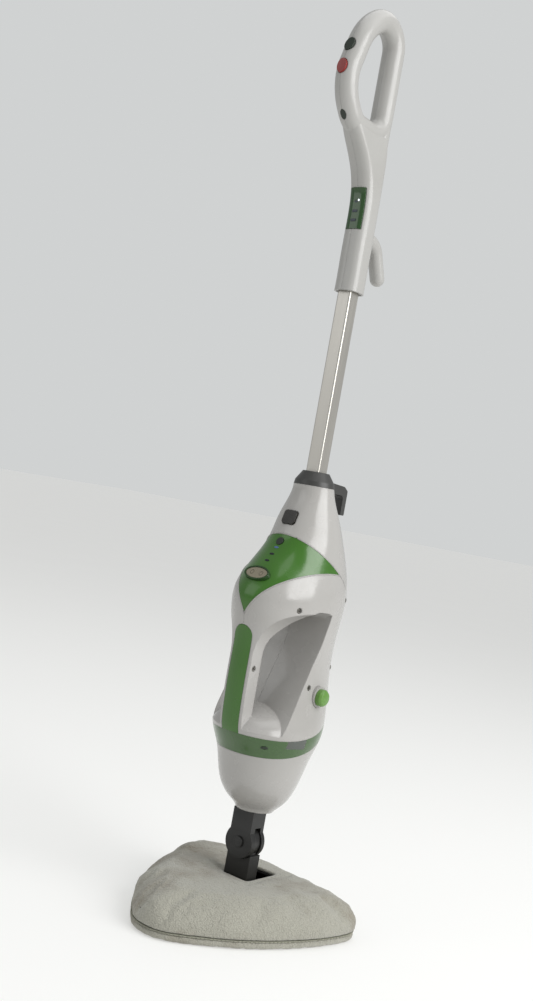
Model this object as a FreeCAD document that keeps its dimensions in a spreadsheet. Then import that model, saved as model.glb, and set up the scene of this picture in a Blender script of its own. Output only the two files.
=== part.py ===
"""Upright steam mop: cloth-covered head, two-way neck, steam unit with a grip, pole and loop handle.

Millimetres, +Z up. The origin lies on the floor under the neck. The front of the mop, with its
grip, its panel and the point of the head, faces -Y. The user stands behind it, on the +Y side.
"""
import FreeCAD, Part
import math
import os
import Sketcher
from FreeCAD import Placement, Rotation, Vector

# ---------------------------------------------------------------- driving dimensions
SIZES = {
    # mop head, its cloth and its hinge
    "nose_reach": 165, "nose_radius": 50, "rear_half_width": 138, "rear_reach": 92,
    "rear_radius": 40, "side_bulge_radius": 330, "back_bulge_radius": 600,
    "pad_thick": 9, "binding_thick": 2, "cloth_top": 46, "cloth_thick": 5, "cloth_shoulder": 24,
    "crown_height": 38, "crown_inset": 9, "top_inset": 22,
    "strip_long": 150, "strip_wide": 26, "strip_thick": 1.5, "strip_spread": 80,
    "plate_thick": 4, "plate_inset": 7, "steam_hole_radius": 1.6, "steam_hole_ring": 46,
    "manifold_wide": 90, "manifold_deep": 46, "manifold_tall": 7, "manifold_front": 72,
    "hinge_height": 30, "lug_thick": 6, "lug_radius": 7.5, "lug_foot_deep": 28, "lug_foot_wide": 72,
    "hinge_pin_radius": 3, "pin_clearance": 0.05, "side_clearance": 0.5, "slot_clearance": 1,
    "slot_rear": 50, "screw_radius": 1.75, "screw_head_radius": 3.2, "screw_head_thick": 1.8,
    # neck
    "neck_wide": 36, "neck_deep": 20, "neck_block_top": 75, "swivel_height": 89.5,
    "drum_radius": 19, "drum_deep": 10.4, "drum_shift": -0.5, "disc_radius": 20.8,
    "front_disc_thick": 9, "rear_disc_thick": 6, "swivel_gap": 0.4, "swivel_pin_radius": 4,
    "pin_head_radius": 7, "pin_head_thick": 2, "fork_wide": 34, "fork_top": 130, "stub_radius": 15,
    "stub_top": 150, "boiler_flange_radius": 24, "boiler_flange_thick": 3,
    # steam unit
    "wall": 2.5, "seat_gap": 0.3, "line_gap": 0.25, "rim_floor": 2.5,
    "grip_wide": 33, "grip_depth": 28, "flare_start": 325, "flare_radius": 67,
    "opening_top": 390, "dome_half": 66, "dome_reach": 77, "dome_rise": 45, "dome_base": 225,
    "band_low_front": 207, "band_low_middle": 216, "band_low_rear": 257,
    "band_high_front": 232, "band_high_middle": 236, "band_high_rear": 262, "band_front": -70,
    "band_rear": 82, "window_half": 14, "window_low": 222, "window_high": 248, "window_place": -16,
    "seam_height": 475, "seam_place": -34, "seam_fall": 0.66, "seam_gap": 0.4,
    "panel_point": 375, "panel_bulge_x": 26.5, "panel_bulge_z": 413, "panel_tip_x": 54,
    "panel_tip_z": 437, "inlay_half": 13, "inlay_top": 362,
    "rocker_height": 424, "rocker_half": 15.5, "rocker_rise": 8, "bezel_edge": 2.2,
    "lamp_low": 441, "lamp_pitch": 8.5, "lamp_half": 3.2, "lamp_rise": 1.5,
    "button_height": 466, "button_radius": 5, "button_proud": 1, "board_depth": 9,
    "board_thick": 1.6, "board_half": 13,
    "knob_height": 285, "knob_place": 17, "knob_radius": 10.5, "knob_face": 60, "knob_long": 9,
    "boss_radius": 13, "boss_bore": 8.5, "knob_stem": 8.2,
    "boiler_radius": 28, "boiler_long": 46, "thermostat_radius": 8, "thermostat_thick": 6,
    "chassis_height": 209, "chassis_thick": 2.5, "pump_wide": 34, "pump_deep": 40, "pump_tall": 30,
    "pump_place": -22, "hose_radius": 3, "tank_wall": 1.8, "tank_top": 360, "tank_step": 300,
    "tank_front_low": 6, "tank_front_high": 20, "gland_radius": 7.5, "gland_bore": 4,
    "gland_height": 375, "deck_thick": 3, "socket_wide": 31, "socket_deep": 25, "socket_wall": 3,
    "socket_low": 398, "tongue_length": 40, "tongue_gap": 0.4,
    # pole
    "pole_place": 9.5, "tube_side": 20, "tube_corner": 2.5, "tube_wall": 1.2, "tube_low": 508,
    "tube_gap": 0.1, "cone_top": 540, "collar_top": 558, "collar_half": 15, "plug_low": 503,
    "hook_arm_rise": 8, "hook_reach": 76, "hook_leg": 8, "hook_drop": 30, "hook_wide": 14,
    "release_height": 497, "release_wide": 19, "release_tall": 18, "release_deep": 7,
    "release_tilt": 19, "release_proud": 1.5, "push_gap": 0.4,
    "panel_travel": 1.2, "handle_travel": 1.5, "release_travel": 3, "spring_slack": 0.1,
    # handle
    "handle_corner": 13, "bar_radius": 14.2, "handle_wall": 2.5,
    "lens_low": 864, "lens_high": 915.5, "lens_half": 11.5, "lens_proud": 0.7,
    "loop_rear": 14, "loop_top": 1146, "loop_crown": -52.5, "loop_crown_height": 1100,
    "loop_front": -77.5, "loop_front_height": 1022, "loop_low_front": -45, "loop_low": 984,
    "loop_rear_corner": 26,
    "steam_button_height": 1064, "power_button_height": 1038, "port_height": 996,
    "key_depth": 6, "key_proud": 1.2, "coil_radius": 2.6, "coil_bore": 2.0, "coil_foot": 2.4,
    "button_half_wide": 6.5, "button_half_tall": 9, "port_half_wide": 4, "port_half_tall": 6.5,
    "cord_hook_height": 860, "cord_hook_radius": 9.5, "cord_hook_bend": 46, "cord_hook_reach": 66.5,
    "cord_hook_tip": 819, "cord_hook_curve": 24, "hook_axle_radius": 3, "hook_gap": 0.4,
}
# Outline of the steam unit and the pole cone: height, half width, front and rear of each oval.
OVALS = {
    "rim": (130, 24, -19, 29), "lip": (142, 35, -30, 40), "bowl": (160, 46, -45, 50),
    "belly": (206, 58, -60, 66), "belt": (235, 65, -74, 78), "shoulder": (258, 62, -78, 84),
    "waist": (315, 55, -80, 84), "chest": (360, 56, -82, 85), "brow": (404, 59, -85, 89),
    "temple": (434, 54, -65, 83.5), "crest": (468, 45, -38.6, 69.4),
    "nape": (500, 37.5, -27.5, 53.5), "tip": (540, 26, -16, 36),
}
# Front half of the handle below its loop: height, front, rear and width of each section.
SECTIONS = {
    "socket": (787, -7.5, 28, 33), "shaft": (840, -7.5, 28, 33), "display": (895, -7.5, 28, 33),
    "throat": (921, -12, 28, 32.5), "fork": (943, -23, 28, 31.5), "web": (964, -40, 27.5, 30),
    "cheek": (984, -56, 25, 27),
}
SECTION_ALIASES = ("height", "front", "rear", "wide")
OVAL_ALIASES = ("height", "half", "front", "rear")
HINGE_GAP = 0.3

for oval_name, oval_sizes in OVALS.items():
    for alias_end, oval_size in zip(OVAL_ALIASES, oval_sizes):
        SIZES[f"{oval_name}_{alias_end}"] = oval_size

for section_name, section_sizes in SECTIONS.items():
    for alias_end, section_size in zip(SECTION_ALIASES, section_sizes):
        SIZES[f"{section_name}_{alias_end}"] = section_size

doc = FreeCAD.newDocument("SteamMop")
sheet = doc.addObject("Spreadsheet::Sheet", "Sizes")
for row, (alias, number) in enumerate(SIZES.items(), start=1):
    sheet.set(f"A{row}", alias)
    sheet.set(f"B{row}", str(number))
    sheet.setAlias(f"B{row}", alias)
doc.recompute()


class Length:
    """A size together with the sheet formula that gives it."""

    def __init__(self, number, formula):
        self.number = number
        self.formula = formula

    def __float__(self):
        return float(self.number)

    def joined(self, other, sign, swapped=False):
        other = other if isinstance(other, Length) else Length(float(other), repr(float(other)))
        first, second = (other, self) if swapped else (self, other)
        results = {"+": lambda: first.number + second.number, "-": lambda: first.number - second.number,
                   "*": lambda: first.number * second.number, "/": lambda: first.number / second.number}
        return Length(results[sign](), f"({first.formula} {sign} {second.formula})")

    def __add__(self, other):
        return self.joined(other, "+")

    def __radd__(self, other):
        return self.joined(other, "+", swapped=True)

    def __sub__(self, other):
        return self.joined(other, "-")

    def __rsub__(self, other):
        return self.joined(other, "-", swapped=True)

    def __mul__(self, other):
        return self.joined(other, "*")

    def __rmul__(self, other):
        return self.joined(other, "*", swapped=True)

    def __truediv__(self, other):
        return self.joined(other, "/")

    def __neg__(self):
        return self.joined(-1, "*")


class SheetSizes:
    """Gives each cell of the sheet by its alias."""

    def __getattr__(self, alias):
        return Length(float(sheet.get(alias)), f"Sizes.{alias}")


s = SheetSizes()
TURNS = {"X": Rotation(Vector(0, 1, 0), 90), "Y": Rotation(Vector(1, 0, 0), -90), "Z": Rotation()}
NODES = {}


# ---------------------------------------------------------------- helpers
def bind(piece, cell, size):
    """Set one property of a piece from a Length, or from a plain number."""
    if isinstance(size, Length):
        piece.setExpression(cell, size.formula)
    elif "." in cell:
        piece.setExpression(cell, repr(float(size)))
    else:
        setattr(piece, cell, size)


def put(piece, at, axis="Z"):
    """Place a piece with its own Z along an axis of the model."""
    piece.Placement = Placement(Vector(), TURNS[axis])
    for letter, size in zip("xyz", at):
        bind(piece, f"Placement.Base.{letter}", size)
    return piece


def cylinder(label, radius, length, at, axis="Z"):
    piece = doc.addObject("Part::Cylinder", label)
    bind(piece, "Radius", radius)
    bind(piece, "Height", length)
    return put(piece, at, axis)


def box(label, size, centre):
    """A box given by its size and by the middle of its base."""
    piece = doc.addObject("Part::Box", label)
    for cell, length in zip(("Length", "Width", "Height"), size):
        bind(piece, cell, length)
    x, y, z = centre
    return put(piece, (x - size[0] / 2, y - size[1] / 2, z))


def fuse(label, *pieces):
    piece = doc.addObject("Part::MultiFuse", label)
    piece.Shapes = list(pieces)
    piece.Refine = True
    return piece


def cut(label, base, *tools):
    piece = doc.addObject("Part::Cut", label)
    piece.Base = base
    piece.Tool = tools[0] if len(tools) == 1 else fuse(label + "_tools", *tools)
    return piece


def common(label, *pieces):
    piece = doc.addObject("Part::MultiCommon", label)
    piece.Shapes = list(pieces)
    return piece


def formed(label, shape):
    """A piece whose free-form shape is worked out from the sheet here."""
    piece = doc.addObject("Part::Feature", label)
    piece.Shape = shape
    return piece


def node(name, piece):
    """Name a finished sub-part."""
    doc.recompute()
    piece.Label = name
    NODES[name] = piece
    return piece


def turned(label, outline, at, axis="Z"):
    """A turned piece: a closed outline of (radius, height) points, revolved in its own body."""
    body = doc.addObject("PartDesign::Body", label)
    sketch = body.newObject("Sketcher::SketchObject", label + "_outline")
    plane = [item for item in body.Origin.OriginFeatures if item.Role == "XZ_Plane"][0]
    sketch.AttachmentSupport = [(plane, "")]
    sketch.MapMode = "FlatFace"
    corners = [Vector(float(radius), float(height), 0) for radius, height in outline]
    for index, corner in enumerate(corners):
        sketch.addGeometry(Part.LineSegment(corner, corners[(index + 1) % len(corners)]), False)
    for index in range(len(corners)):
        sketch.addConstraint(Sketcher.Constraint("Coincident", index, 2, (index + 1) % len(corners), 1))
    for index, (radius, height) in enumerate(outline):
        for kind, axis_line, size in (("DistanceX", -2, radius), ("DistanceY", -1, height)):
            if float(size) == 0:
                sketch.addConstraint(Sketcher.Constraint("PointOnObject", index, 1, axis_line))
            else:
                place = sketch.addConstraint(Sketcher.Constraint(kind, -1, 1, index, 1, float(size)))
                if isinstance(size, Length):
                    sketch.setExpression(f"Constraints[{place}]", size.formula)
    doc.recompute()
    revolution = body.newObject("PartDesign::Revolution", label + "_turn")
    revolution.Profile = sketch
    revolution.ReferenceAxis = (sketch, ["V_Axis"])
    revolution.Angle = 360
    return put(body, at, axis)


def rounded_wire(corners, radii):
    """A closed wire through flat corners, each rounded by its own radius."""
    count = len(corners)
    arcs = []
    for index, (corner, radius) in enumerate(zip(corners, radii)):
        back = (corners[index - 1] - corner).normalize()
        ahead = (corners[(index + 1) % count] - corner).normalize()
        half = back.getAngle(ahead) / 2
        inward = (back + ahead).normalize()
        centre = corner + inward * (radius / math.sin(half))
        reach = radius / math.tan(half)
        arcs.append((corner + back * reach, centre - inward * radius, corner + ahead * reach))
    edges = []
    for index, (start, middle, end) in enumerate(arcs):
        edges.append(Part.Arc(start, middle, end).toShape())
        edges.append(Part.LineSegment(end, arcs[(index + 1) % count][0]).toShape())
    return Part.Wire(edges)


def prism(wire, along, grow=0):
    """A flat wire, grown outwards, drawn out along a vector."""
    flat = wire.makeOffset2D(grow) if grow else wire
    return Part.Face(flat).extrude(along)


def slab(low, high):
    """All the space between two heights."""
    wide = 800
    return Part.makeBox(wide, wide, high - low, Vector(-wide / 2, -wide / 2, low))


def tilted(shape, at, angle):
    """Turn a shape about X and move it to its place."""
    moved = shape.copy()
    moved.Placement = Placement(at, Rotation(Vector(1, 0, 0), angle))
    return moved


def oval_prism(half_wide, half_tall, low, high):
    """An upright oval block about the Z axis."""
    wide, tall = max(half_wide, half_tall), min(half_wide, half_tall)
    turn = 0 if half_wide >= half_tall else 90
    ring = Part.Ellipse(Vector(0, 0, low), wide, tall).toShape()
    ring.rotate(Vector(), Vector(0, 0, 1), turn)
    return Part.Face(Part.Wire([ring])).extrude(Vector(0, 0, high - low))


# ---------------------------------------------------------------- mop head
NOSE = Vector(0, float(s.nose_radius - s.nose_reach), 0)
RIGHT = Vector(float(s.rear_half_width - s.rear_radius), float(s.rear_reach - s.rear_radius), 0)
LEFT = Vector(-RIGHT.x, RIGHT.y, 0)


def bulge_centre(first, first_radius, second, second_radius, radius):
    """Centre of the wide arc that touches two corner circles from outside."""
    near, far = radius - first_radius, radius - second_radius
    span = second - first
    along = (near ** 2 - far ** 2 + span.Length ** 2) / (2 * span.Length)
    across = math.sqrt(near ** 2 - along ** 2)
    direction = span.normalize()
    return first + direction * along + Vector(-direction.y, direction.x, 0) * across


def head_outline(inset, height):
    """Outline of the head: three corners joined by three wide arcs, moved in by an inset."""
    nose, rear = float(s.nose_radius), float(s.rear_radius)
    side, back = float(s.side_bulge_radius), float(s.back_bulge_radius)
    corners = [(NOSE, nose), (RIGHT, rear), (LEFT, rear)]
    sides = [side, back, side]
    centres = []
    for index, radius in enumerate(sides):
        first, first_radius = corners[index]
        second, second_radius = corners[(index + 1) % 3]
        centres.append((bulge_centre(first, first_radius, second, second_radius, radius), radius))
    lift = Vector(0, 0, height)
    edges = []
    for index, (corner, radius) in enumerate(corners):
        before, after = centres[index - 1][0], centres[index][0]
        start = corner + (corner - before).normalize() * (radius - inset)
        end = corner + (corner - after).normalize() * (radius - inset)
        halfway = ((corner - before).normalize() + (corner - after).normalize()).normalize()
        middle = corner + halfway * (radius - inset)
        edges.append(Part.Arc(start + lift, middle + lift, end + lift).toShape())
        following = corners[(index + 1) % 3][0]
        wide = centres[index][1] - inset
        first_way, second_way = (corner - after).normalize(), (following - after).normalize()
        edges.append(Part.Arc(after + first_way * wide + lift,
                              after + (first_way + second_way).normalize() * wide + lift,
                              after + second_way * wide + lift).toShape())
    return Part.Wire(edges)


def head_plate(inset, low, high):
    return Part.Face(head_outline(inset, low)).extrude(Vector(0, 0, high - low))


def head_dome(depth, low):
    """The domed top of the head, taken in all round by a depth."""
    shoulder = head_outline(depth, float(s.cloth_shoulder))
    crown = head_outline(depth + float(s.crown_inset), float(s.crown_height) - depth)
    top = head_outline(depth + float(s.top_inset), float(s.cloth_top) - depth)
    return Part.makeLoft([head_outline(depth, low), shoulder, crown, top], True, True)


pad_top = float(s.pad_thick)
binding_top = pad_top + float(s.binding_thick)
pad_edge = 4
pad = head_plate(0, 0, pad_top)
lower_edges = [edge for edge in pad.Edges if edge.BoundBox.ZMax < 0.01]
node("cloth_pad", formed("cloth_pad", pad.makeFillet(pad_edge, lower_edges)))

binding_inside = float(s.cloth_thick)
binding = head_plate(0, pad_top, binding_top).cut(head_plate(binding_inside, pad_top, binding_top))
node("cloth_binding", formed("cloth_binding", binding))

neck_half = float(s.neck_wide) / 2
neck_reach = float(s.neck_deep) / 2
slot_gap = float(s.slot_clearance)
cover_slot = Part.makeBox(2 * (neck_half + slot_gap), neck_reach + slot_gap + float(s.slot_rear), 100,
                          Vector(-neck_half - slot_gap, -neck_reach - slot_gap, float(s.cloth_shoulder)))
cover = head_dome(0, binding_top).cut(head_dome(float(s.cloth_thick), binding_top)).cut(cover_slot)
node("cloth_cover", formed("cloth_cover", cover))

plate_low = s.pad_thick + s.strip_thick
plate_top = plate_low + s.plate_thick
strips = fuse("hook_strip_pair", *[
    box(f"hook_strip_{side}", (s.strip_wide, s.strip_long, s.strip_thick),
        (side * s.strip_spread / 2, 0, s.pad_thick))
    for side in (-1, 1)])
node("hook_strips", strips)

screw_places = [(x_way * (s.lug_foot_wide / 2 - 5), y_way * (s.lug_foot_deep / 2 - 5))
                for x_way in (-1, 1) for y_way in (-1, 1)]
plate_holes = [cylinder(f"steam_hole_{index}", s.steam_hole_radius, s.plate_thick,
                        (s.steam_hole_ring * math.cos(index * math.pi / 6),
                         s.steam_hole_ring * math.sin(index * math.pi / 6) - 10, plate_low))
               for index in range(12)]
plate_holes += [cylinder(f"plate_screw_hole_{index}", s.screw_radius, s.plate_thick, (x, y, plate_low))
                for index, (x, y) in enumerate(screw_places)]
plate_blank = formed("plate_blank", head_plate(float(s.plate_inset), float(plate_low), float(plate_top)))
node("sole_plate", cut("sole_plate", plate_blank, *plate_holes))

cover_depth = float(s.cloth_thick + s.seat_gap)
shell_depth = cover_depth + float(s.wall)
shell = head_dome(cover_depth, float(plate_top)).cut(head_dome(shell_depth, float(plate_top))).cut(cover_slot)
node("head_cover", formed("head_cover", shell))

manifold = box("steam_manifold", (s.manifold_wide, s.manifold_deep, s.manifold_tall),
               (0, s.manifold_deep / 2 - s.manifold_front, plate_top))
node("steam_manifold", manifold)

lug_inner = s.neck_wide / 2 + s.side_clearance
foot_thick = s.screw_head_thick + 1
lug_parts = [box("hinge_foot", (s.lug_foot_wide, s.lug_foot_deep, foot_thick), (0, 0, plate_top))]
for side in (-1, 1):
    lug_middle = side * (lug_inner + s.lug_thick / 2)
    lug_parts.append(box(f"lug_stem_{side}", (s.lug_thick, 2 * s.lug_radius, s.hinge_height - plate_top),
                         (lug_middle, 0, plate_top)))
    lug_parts.append(cylinder(f"lug_eye_{side}", s.lug_radius, s.lug_thick,
                              (lug_middle - s.lug_thick / 2, 0, s.hinge_height), "X"))
lug_holes = [cylinder("lug_bore", s.hinge_pin_radius + s.pin_clearance, s.lug_foot_wide,
                      (-s.lug_foot_wide / 2, 0, s.hinge_height), "X")]
lug_holes += [cylinder(f"foot_screw_hole_{index}", s.screw_radius, foot_thick, (x, y, plate_top))
              for index, (x, y) in enumerate(screw_places)]
node("hinge_bracket", cut("hinge_bracket", fuse("bracket_blank", *lug_parts), *lug_holes))

screws = []
for index, (x, y) in enumerate(screw_places):
    screws.append(cylinder(f"bracket_screw_shank_{index}", s.screw_radius - s.pin_clearance,
                           s.plate_thick + foot_thick, (x, y, plate_low)))
    screws.append(cylinder(f"bracket_screw_head_{index}", s.screw_head_radius, s.screw_head_thick,
                           (x, y, plate_top + foot_thick)))
node("bracket_screws", fuse("bracket_screws", *screws))

pin_half = lug_inner + s.lug_thick
node("hinge_pin", cylinder("hinge_pin", s.hinge_pin_radius, 2 * pin_half,
                           (-pin_half, 0, s.hinge_height), "X"))

# ---------------------------------------------------------------- neck
drum_front = s.drum_shift - s.drum_deep / 2
drum_rear = s.drum_shift + s.drum_deep / 2
disc_inner_front = drum_front - s.swivel_gap
disc_inner_rear = drum_rear + s.swivel_gap
fork_front = disc_inner_front - s.front_disc_thick
fork_rear = disc_inner_rear + s.rear_disc_thick
cradle_radius = s.disc_radius + s.swivel_gap + 0.2
neck_blank = fuse(
    "neck_blank",
    box("neck_block", (s.neck_wide, s.neck_deep, s.neck_block_top - s.hinge_height), (0, 0, s.hinge_height)),
    cylinder("neck_barrel", s.neck_deep / 2, s.neck_wide, (-s.neck_wide / 2, 0, s.hinge_height), "X"),
    box("neck_web", (s.drum_radius * 1.6, s.drum_deep, s.swivel_height - s.neck_block_top),
        (0, s.drum_shift, s.neck_block_top)),
    cylinder("neck_drum", s.drum_radius, s.drum_deep, (0, drum_front, s.swivel_height), "Y"))
node("neck_yoke", cut(
    "neck_yoke", neck_blank,
    cylinder("front_cradle", cradle_radius, s.neck_deep, (0, drum_front - s.neck_deep, s.swivel_height), "Y"),
    cylinder("rear_cradle", cradle_radius, s.neck_deep, (0, drum_rear, s.swivel_height), "Y"),
    cylinder("neck_hinge_bore", s.hinge_pin_radius + s.pin_clearance, s.neck_wide,
             (-s.neck_wide / 2, 0, s.hinge_height), "X"),
    cylinder("neck_swivel_bore", s.swivel_pin_radius + s.pin_clearance, s.neck_deep * 2,
             (0, -s.neck_deep, s.swivel_height), "Y")))

arch_radius = s.drum_radius + s.swivel_gap + 0.2
fork_middle = (fork_front + fork_rear) / 2
fork_blank = fuse(
    "fork_blank",
    box("fork_block", (s.fork_wide, fork_rear - fork_front, s.fork_top - s.swivel_height),
        (0, fork_middle, s.swivel_height)),
    cylinder("fork_front_disc", s.disc_radius, s.front_disc_thick, (0, fork_front, s.swivel_height), "Y"),
    cylinder("fork_rear_disc", s.disc_radius, s.rear_disc_thick, (0, disc_inner_rear, s.swivel_height), "Y"),
    cylinder("fork_stub", s.stub_radius, s.stub_top - s.fork_top + 2, (0, 0, s.fork_top - 2)),
    cylinder("boiler_flange", s.boiler_flange_radius, s.boiler_flange_thick, (0, 0, s.stub_top)))
node("neck_fork", cut(
    "neck_fork", fork_blank,
    box("fork_slot", (s.fork_wide * 2, disc_inner_rear - disc_inner_front, arch_radius),
        (0, (disc_inner_front + disc_inner_rear) / 2, s.swivel_height)),
    cylinder("fork_bore", s.swivel_pin_radius + s.pin_clearance, s.neck_deep * 2,
             (0, -s.neck_deep, s.swivel_height), "Y"),
    cylinder("steam_bore", s.hose_radius, s.stub_top, (0, 0, s.fork_top - 12))))

node("swivel_pin", turned("swivel_pin", [
    (0, 0), (s.pin_head_radius, 0), (s.pin_head_radius, s.pin_head_thick),
    (s.swivel_pin_radius, s.pin_head_thick),
    (s.swivel_pin_radius, s.pin_head_thick + fork_rear - fork_front),
    (0, s.pin_head_thick + fork_rear - fork_front)],
    (0, fork_front - s.pin_head_thick, s.swivel_height), "Y"))


# ---------------------------------------------------------------- steam unit: outer form
def oval_ring(name, grow_in):
    """One oval of the unit's outline, taken in by a depth."""
    height, half, front, rear = [float(getattr(s, f"{name}_{end}")) for end in OVAL_ALIASES]
    half, front, rear = half - grow_in, front + grow_in, rear - grow_in
    middle, reach = (front + rear) / 2, (rear - front) / 2
    points = 12
    turn = 2 * math.pi / points
    curve = Part.BSplineCurve()
    curve.interpolate([Vector(half * math.sin(step * turn), middle - reach * math.cos(step * turn), height)
                       for step in range(points)], PeriodicFlag=True)
    return Part.Wire([curve.toShape()])


def unit_form(grow_in=0.0):
    """The smooth outer form from the lower rim to the pole collar, taken in by a depth."""
    return Part.makeLoft([oval_ring(name, grow_in) for name in OVALS], True, False)


def finger_space(grow=0.0):
    """What the grip leaves open: the hole behind it and the hollows on both sides of it."""
    top, low, far = float(s.opening_top), float(s.dome_base), 150
    grip_front = float(s.waist_front)
    grip_rear = grip_front + float(s.grip_depth) - 4
    hole = rounded_wire([Vector(-far, y, z) for y, z in (
        (grip_rear, low), (grip_rear, top - 45), (-18, top), (17, top - 2), (9, top - 42), (-14, top - 92),
        (-46, low))], (5, 35, 22, 8, 60, 40, 5))
    hollow = rounded_wire([Vector(0, y, z) for y, z in (
        (-far, low), (-far, top + 10), (18.5, top + 10), (9, top - 42), (-14, top - 92), (-46, low))],
        (2, 2, 2, 60, 40, 2))
    grip_half, start, radius = float(s.grip_wide) / 2, float(s.flare_start), float(s.flare_radius)
    bend = radius * math.sqrt(0.5)
    flare = Part.Wire([
        Part.LineSegment(Vector(grip_half, -far, low), Vector(grip_half, -far, start)).toShape(),
        Part.Arc(Vector(grip_half, -far, start), Vector(grip_half + radius - bend, -far, start + bend),
                 Vector(grip_half + radius, -far, start + radius)).toShape(),
        Part.LineSegment(Vector(grip_half + radius, -far, start + radius),
                         Vector(far, -far, start + radius)).toShape(),
        Part.LineSegment(Vector(far, -far, start + radius), Vector(far, -far, low)).toShape(),
        Part.LineSegment(Vector(far, -far, low), Vector(grip_half, -far, low)).toShape()])
    right = prism(hollow, Vector(far, 0, 0), grow).common(prism(flare, Vector(0, 2 * far, 0), grow))
    left = right.mirror(Vector(), Vector(1, 0, 0))
    scale = FreeCAD.Matrix()
    scale.scale(float(s.dome_half) - grow, float(s.dome_reach) - grow, float(s.dome_rise) - grow)
    dome = Part.makeSphere(1).transformGeometry(scale)
    dome.translate(Vector(0, 0, low))
    space = prism(hole, Vector(2 * far, 0, 0), grow)
    return [tool.cut(dome) for tool in (right, left, space)]


def unit_solid(grow_in=0.0):
    solid = unit_form(grow_in)
    for tool in finger_space(grow_in):
        solid = solid.cut(tool)
    return solid


def sheet_between(front, middle, rear):
    """All the space below a curved surface that runs from front to rear through three heights."""
    start, stop = float(s.band_front), float(s.band_rear)
    arc = Part.Arc(Vector(-200, start, front), Vector(-200, (start + stop) / 2, middle),
                   Vector(-200, stop, rear))
    curve = arc.toShape()
    first_way = curve.tangentAt(curve.FirstParameter)
    last_way = curve.tangentAt(curve.LastParameter)
    lead_in = Vector(-200, start, front) - first_way * 60
    lead_out = Vector(-200, stop, rear) + last_way * 30
    outline = Part.Wire([
        Part.LineSegment(lead_in, Vector(-200, start, front)).toShape(), curve,
        Part.LineSegment(Vector(-200, stop, rear), lead_out).toShape(),
        Part.LineSegment(lead_out, Vector(-200, lead_out.y, 100)).toShape(),
        Part.LineSegment(Vector(-200, lead_out.y, 100), Vector(-200, lead_in.y, 100)).toShape(),
        Part.LineSegment(Vector(-200, lead_in.y, 100), lead_in).toShape()])
    return Part.Face(outline).extrude(Vector(400, 0, 0))


def below_seam(drop):
    """All the space below the sloping seam between the unit and the pole cone."""
    place, height, fall = float(s.seam_place), float(s.seam_height), float(s.seam_fall)
    front, rear = -200, 200
    corners = [Vector(-200, front, 100), Vector(-200, front, height - drop - fall * (front - place)),
               Vector(-200, rear, height - drop - fall * (rear - place)), Vector(-200, rear, 100)]
    return Part.Face(Part.makePolygon(corners + corners[:1])).extrude(Vector(400, 0, 0))


def front_frame(height, tilt=None):
    """Point on the unit's front centreline, and the turn about X that faces outwards there."""
    probe = Part.makeLine(Vector(0, -200, height), Vector(0, 0, height)).common(UNIT)
    point = Vector(0, probe.BoundBox.YMin, height)
    if tilt is None:
        above = Part.makeLine(Vector(0, -200, height + 2), Vector(0, 0, height + 2)).common(UNIT)
        tilt = math.degrees(math.atan2(above.BoundBox.YMin - point.y, 2))
    return point, 90 - tilt


UNIT = unit_solid()
CAVITY = unit_solid(float(s.wall)).cut(slab(0, float(s.rim_height + s.rim_floor)))
SKIN = UNIT.cut(CAVITY)
LOOSE_FIT = unit_solid(float(s.wall + s.seat_gap))

stub_hole = Part.makeCylinder(float(s.stub_radius + s.seat_gap), 20, Vector(0, 0, float(s.rim_height) - 5))
band_bottom = sheet_between(*[float(size) for size in (s.band_low_front, s.band_low_middle, s.band_low_rear)])
band_top = sheet_between(*[float(size) for size in (s.band_high_front, s.band_high_middle, s.band_high_rear)])
node("lower_cone", formed("lower_cone", SKIN.common(band_bottom).cut(stub_hole)))

window_box = Part.makeBox(100, 2 * float(s.window_half), float(s.window_high - s.window_low),
                          Vector(20, float(s.window_place - s.window_half), float(s.window_low)))
band = SKIN.common(band_top).cut(band_bottom)
window = band.common(window_box)
node("green_band", formed("green_band", band.cut(window_box)))
node("water_window", formed("water_window", window))

# casing halves, the front inlay and the panel are cut from one skin
casing_skin = SKIN.cut(band_top).common(below_seam(0))
inlay_half, inlay_top = float(s.inlay_half), float(s.inlay_top)


def inlay_form(gap):
    half = inlay_half - gap
    block = Part.makeBox(2 * half, 60, inlay_top - inlay_half - 150, Vector(-half, -130, 150))
    return block.fuse(Part.makeCylinder(half, 60, Vector(0, -130, inlay_top - inlay_half), Vector(0, 1, 0)))


def panel_form(gap):
    """The space above the two arcs that bound the panel, drawn from front to rear."""
    point, tip_x, tip_z = float(s.panel_point) + gap, float(s.panel_tip_x), float(s.panel_tip_z) + gap
    bulge_x, bulge_z = float(s.panel_bulge_x), float(s.panel_bulge_z) + gap
    front, far = -200, 120
    low = Vector(0, front, point)
    edges = []
    for way in (1, -1):
        tip, beside_tip = Vector(way * tip_x, front, tip_z), Vector(way * far, front, tip_z)
        edges.append(Part.Arc(low, Vector(way * bulge_x, front, bulge_z), tip).toShape())
        edges.append(Part.LineSegment(tip, beside_tip).toShape())
        edges.append(Part.LineSegment(beside_tip, Vector(way * far, front, 600)).toShape())
    edges.append(Part.LineSegment(Vector(far, front, 600), Vector(-far, front, 600)).toShape())
    outline = Part.Wire(Part.__sortEdges__(edges))
    grip_rear = float(s.waist_front + s.grip_depth) + 8
    opening_roof = Part.makeBox(float(s.grip_wide), far, float(s.opening_top + s.wall) + 1,
                                Vector(-float(s.grip_wide) / 2, grip_rear, 0))
    return Part.Face(outline).extrude(Vector(0, 230, 0)).cut(opening_roof)


casing_body = casing_skin.cut(inlay_form(0)).cut(panel_form(0))
right_half = Part.makeBox(400, 800, 800, Vector(0, -400, 0))
left_half = Part.makeBox(400, 800, 800, Vector(-400, -400, 0))
node("grip_inlay", formed("grip_inlay", casing_skin.common(inlay_form(float(s.line_gap)))))

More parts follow.
